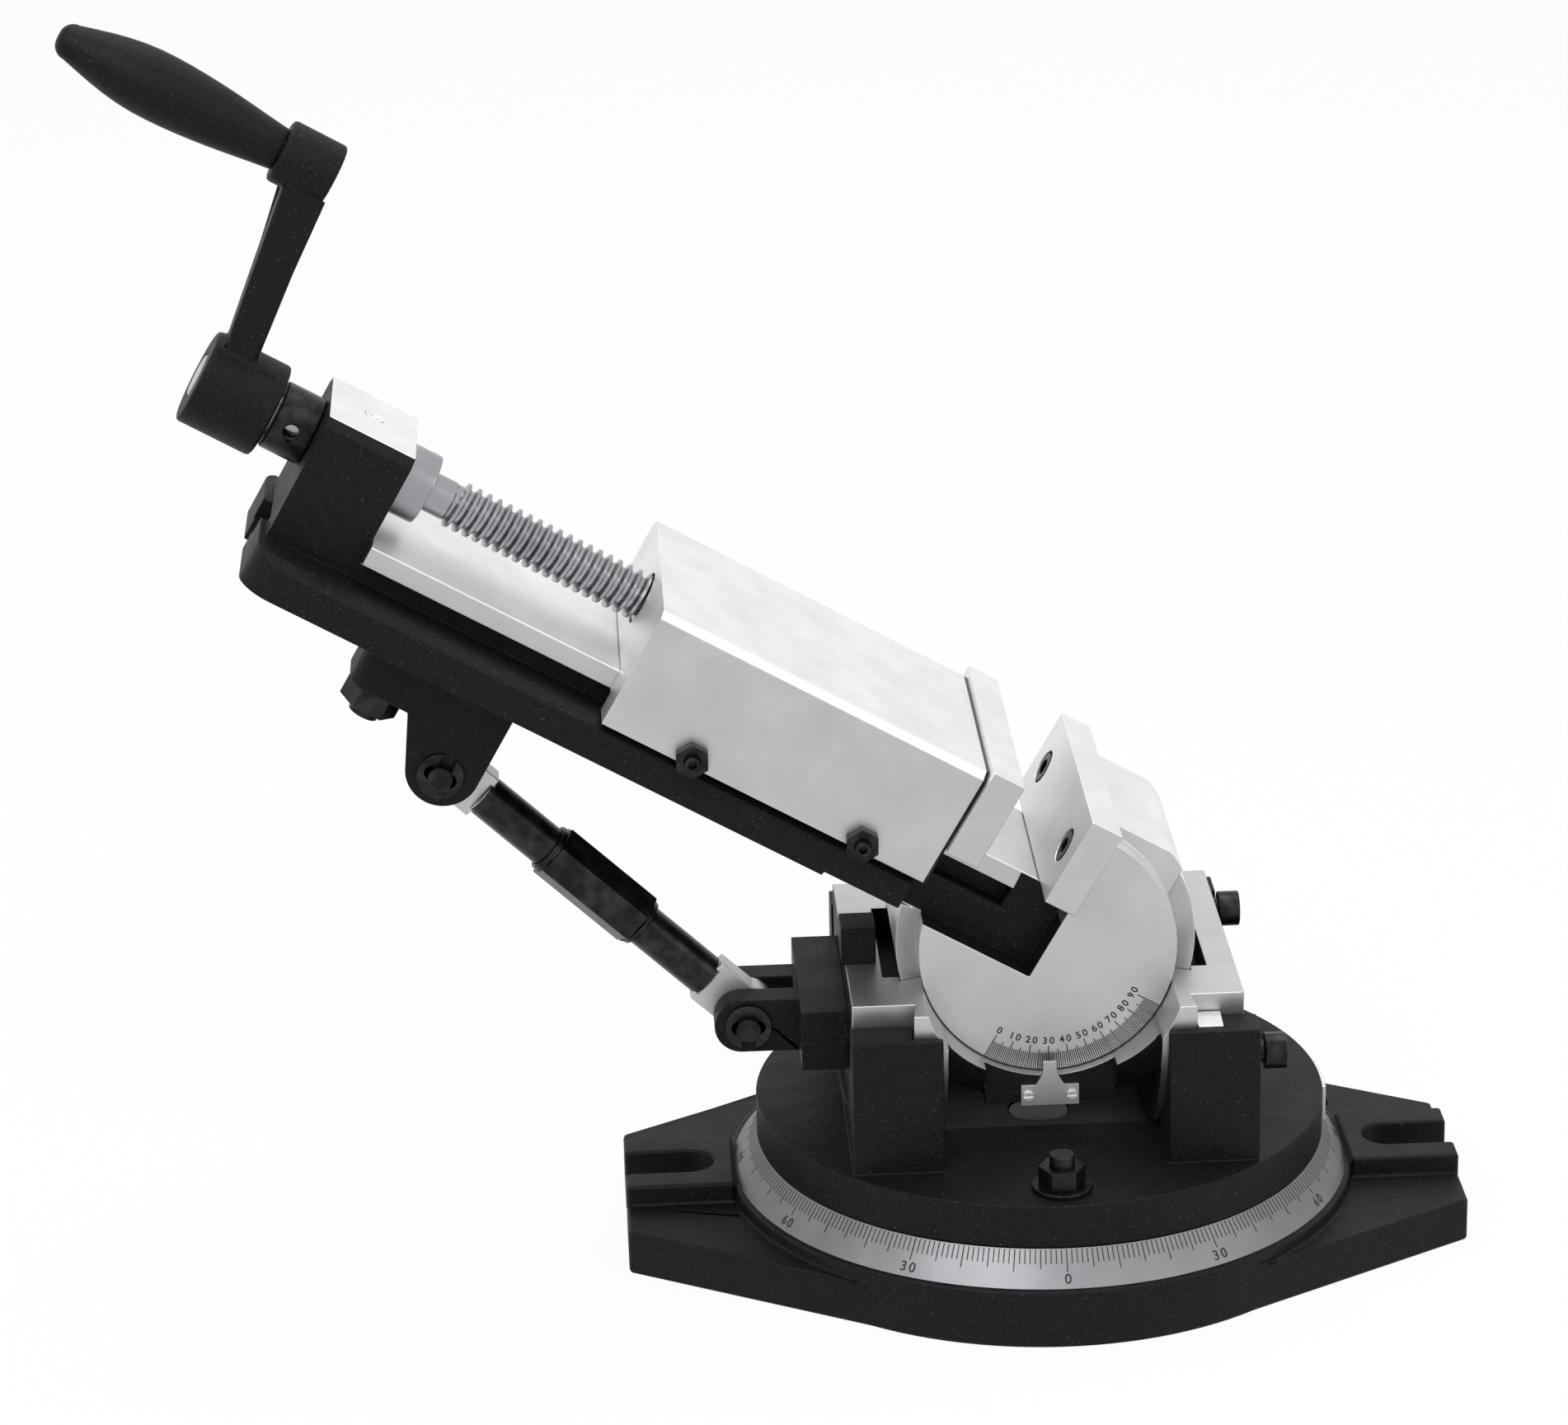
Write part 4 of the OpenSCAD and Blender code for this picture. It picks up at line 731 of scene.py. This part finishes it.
def threaded_bar():
    """One pitch of the thread's outline, wound along the screw as a left-hand helix."""
    outline = [(ROOT_R, 0), (ROOT_R, ROOT_HALF), (THREAD_R, ROOT_HALF + FLANK),
               (THREAD_R, PITCH - ROOT_HALF - FLANK), (ROOT_R, PITCH - ROOT_HALF), (ROOT_R, PITCH)]
    bar = made_by(bpy.ops.mesh.primitive_plane_add, size=PITCH)
    bar.data.clear_geometry()
    edges = [(i, i + 1) for i in range(len(outline) - 1)]
    bar.data.from_pydata([(r, 0, z) for r, z in outline], edges, [])
    helix = bar.modifiers.new("helix", "SCREW")
    helix.angle = -math.tau
    helix.screw_offset = PITCH
    helix.steps = THREAD_STEPS
    helix.render_steps = THREAD_STEPS
    helix.iterations = int((THREAD_U[1] - THREAD_U[0]) / PITCH)
    helix.use_merge_vertices = True
    helix.use_normal_calculate = True
    apply_all(bar)
    settle(bar, on_screw(THREAD_U[0]))
    bpy.ops.object.mode_set(mode="EDIT")
    bpy.ops.mesh.select_all(action="SELECT")
    bpy.ops.mesh.remove_doubles(threshold=THREAD_WELD)
    bpy.ops.mesh.normals_make_consistent(inside=False)
    bpy.ops.object.mode_set(mode="OBJECT")
    bpy.ops.object.shade_smooth_by_angle(angle=THREAD_SMOOTH)
    return bar


def plain_bar(start, end, radius):
    """A round stretch of the screw with small chamfers at its ends."""
    bar = made_by(bpy.ops.mesh.primitive_cylinder_add, vertices=BAR_SIDES, radius=radius, depth=end - start)
    edge = bar.modifiers.new("edge", "BEVEL")
    edge.width = BAR_EDGE
    edge.limit_method = "ANGLE"
    apply_all(bar)
    settle(bar, on_screw((start + end) / 2))
    bpy.ops.object.shade_smooth_by_angle(angle=THREAD_SMOOTH)
    return bar


bright_steel = turned_steel("bright_turned_steel", SCREW_TONES, SCREW_DULLNESS, 0)
screw_parts = [threaded_bar(), plain_bar(*JOURNAL_U, JOURNAL_R),
               plain_bar(NECK_START, THREAD_U[0] + NECK_OVERLAP, NECK_R),
               plain_bar(*THREAD_U, ROOT_R - CORE_GAP)]
screw_piece = joined(screw_parts, "lead_screw_threaded", "screw", bright_steel)
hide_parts("lead_screw")
rounded("front_collar", "front_collar_bright", FRONT_COLLAR_EDGE, bright_steel)
blackened(("rear_collar",), REAR_COLLAR_EDGE)

# Crank and grip
# The crank is cast with round edges and enamelled like the bed.
# The grip is turned and enamelled too, and runs on a plain steel spindle.
CRANK_EDGE = 1.2 * MM
GRIP_EDGE = 0.3 * MM
GRIP_CORNER = 60
rounded("crank", "crank_casting", CRANK_EDGE, enamel)
rounded("grip", "grip_turned", GRIP_EDGE, enamel, corner=GRIP_CORNER)
rounded("grip_spindle", "grip_spindle_bright", GRIP_EDGE, bright_steel)

# Centre pin
# The blackened steel pin in the middle of the base that the turntable turns on.
# The cradle above hides most of it, and its dark oxide also stands for the shade under the cradle, a
# painted shade.
CENTRE_PIN_EDGE = 0.4 * MM
blackened(("centre_pin",), CENTRE_PIN_EDGE)

# Studio
# A white table and backdrop under wide soft lamps, as in a product photograph, with a faint shadow.
# Each lamp has a name, a place, a size in metres and a power in watts.
TABLE_SIZE = 6.0
PAPER = "#f4f4f4"
SHADOW_SHARE = 0.06
AMBIENT = 0.45
LAMPS = (
    ("key", (-0.6, -1.1, 1.5), 0.9, 14.0),
    ("fill", (1.2, -0.9, 0.9), 0.8, 5.0),
    ("top", (0.0, 0.4, 1.8), 1.2, 12.0),
)
LAMP_AIM = Vector((0, 0, 0.15))
CAMERA_AT = (-0.15035, -1.62088, 0.78172)
CAMERA_YAW = math.radians(2.43)
CAMERA_PITCH = math.radians(20.38)
CAMERA_ROLL = math.radians(1.24)
FOCAL_PX = 6526.55
PHOTO_W = 1902
SENSOR_W = 36


def showing(tree):
    """One for the rays that show a surface: camera, glossy and transmission rays."""
    path = add(tree, "ShaderNodeLightPath", {})
    near = add(tree, "ShaderNodeMath", {"operation": "MAXIMUM"},
               {0: path.outputs["Is Camera Ray"], 1: path.outputs["Is Glossy Ray"]})
    return add(tree, "ShaderNodeMath", {"operation": "MAXIMUM"},
               {0: near.outputs["Value"], 1: path.outputs["Is Transmission Ray"]}).outputs["Value"]


def studio_white():
    """White paper that shows the camera a clean white and keeps a faint part of the shadow."""
    material, tree, spot, skin = blank("studio_paper")
    tree.nodes.remove(skin)
    paper = add(tree, "ShaderNodeBsdfDiffuse", {"Color": linear(PAPER)})
    white = add(tree, "ShaderNodeEmission", {"Color": (1, 1, 1, 1), "Strength": 1.0})
    share = add(tree, "ShaderNodeMath", {"operation": "MULTIPLY", 1: 1 - SHADOW_SHARE}, {0: showing(tree)})
    mix = add(tree, "ShaderNodeMixShader", {},
              {0: share.outputs["Value"], 1: paper.outputs["BSDF"], 2: white.outputs["Emission"]})
    tree.links.new(mix.outputs["Shader"], tree.nodes["Material Output"].inputs["Surface"])
    return material


table = made_by(bpy.ops.mesh.primitive_plane_add, size=TABLE_SIZE)
table.name = "table"
table.data.materials.append(studio_white())

world = bpy.data.worlds.new("studio_air")
bpy.context.scene.world = world
world.use_nodes = True
air = world.node_tree
air.nodes.clear()
ambient = add(air, "ShaderNodeBackground", {"Color": (1, 1, 1, 1), "Strength": AMBIENT})
backdrop = add(air, "ShaderNodeBackground", {"Color": (1, 1, 1, 1), "Strength": 1.0})
blend = add(air, "ShaderNodeMixShader", {},
            {0: showing(air), 1: ambient.outputs["Background"], 2: backdrop.outputs["Background"]})
add(air, "ShaderNodeOutputWorld", {}, {"Surface": blend.outputs["Shader"]})

for name, place, size, watts in LAMPS:
    lamp = bpy.data.lights.new(name, "AREA")
    lamp.size = size
    lamp.energy = watts
    stand = bpy.data.objects.new(name, lamp)
    bpy.context.scene.collection.objects.link(stand)
    stand.location = place
    stand.rotation_euler = (LAMP_AIM - Vector(place)).to_track_quat("-Z", "Y").to_euler()

look = Vector((math.sin(CAMERA_YAW) * math.cos(CAMERA_PITCH), math.cos(CAMERA_YAW) * math.cos(CAMERA_PITCH),
               -math.sin(CAMERA_PITCH)))
level = Vector((math.cos(CAMERA_YAW), -math.sin(CAMERA_YAW), 0))
fall = look.cross(level)
across = math.cos(CAMERA_ROLL) * level + math.sin(CAMERA_ROLL) * fall
below = -math.sin(CAMERA_ROLL) * level + math.cos(CAMERA_ROLL) * fall
camera = bpy.data.objects.new("camera", bpy.data.cameras.new("camera"))
bpy.context.scene.collection.objects.link(camera)
camera.matrix_world = Matrix.Translation(CAMERA_AT) @ Matrix((across, -below, -look)).transposed().to_4x4()
camera.data.sensor_fit = "HORIZONTAL"
camera.data.sensor_width = SENSOR_W
camera.data.lens = SENSOR_W * FOCAL_PX / PHOTO_W
bpy.context.scene.camera = camera
bpy.context.scene.view_settings.view_transform = "Standard"
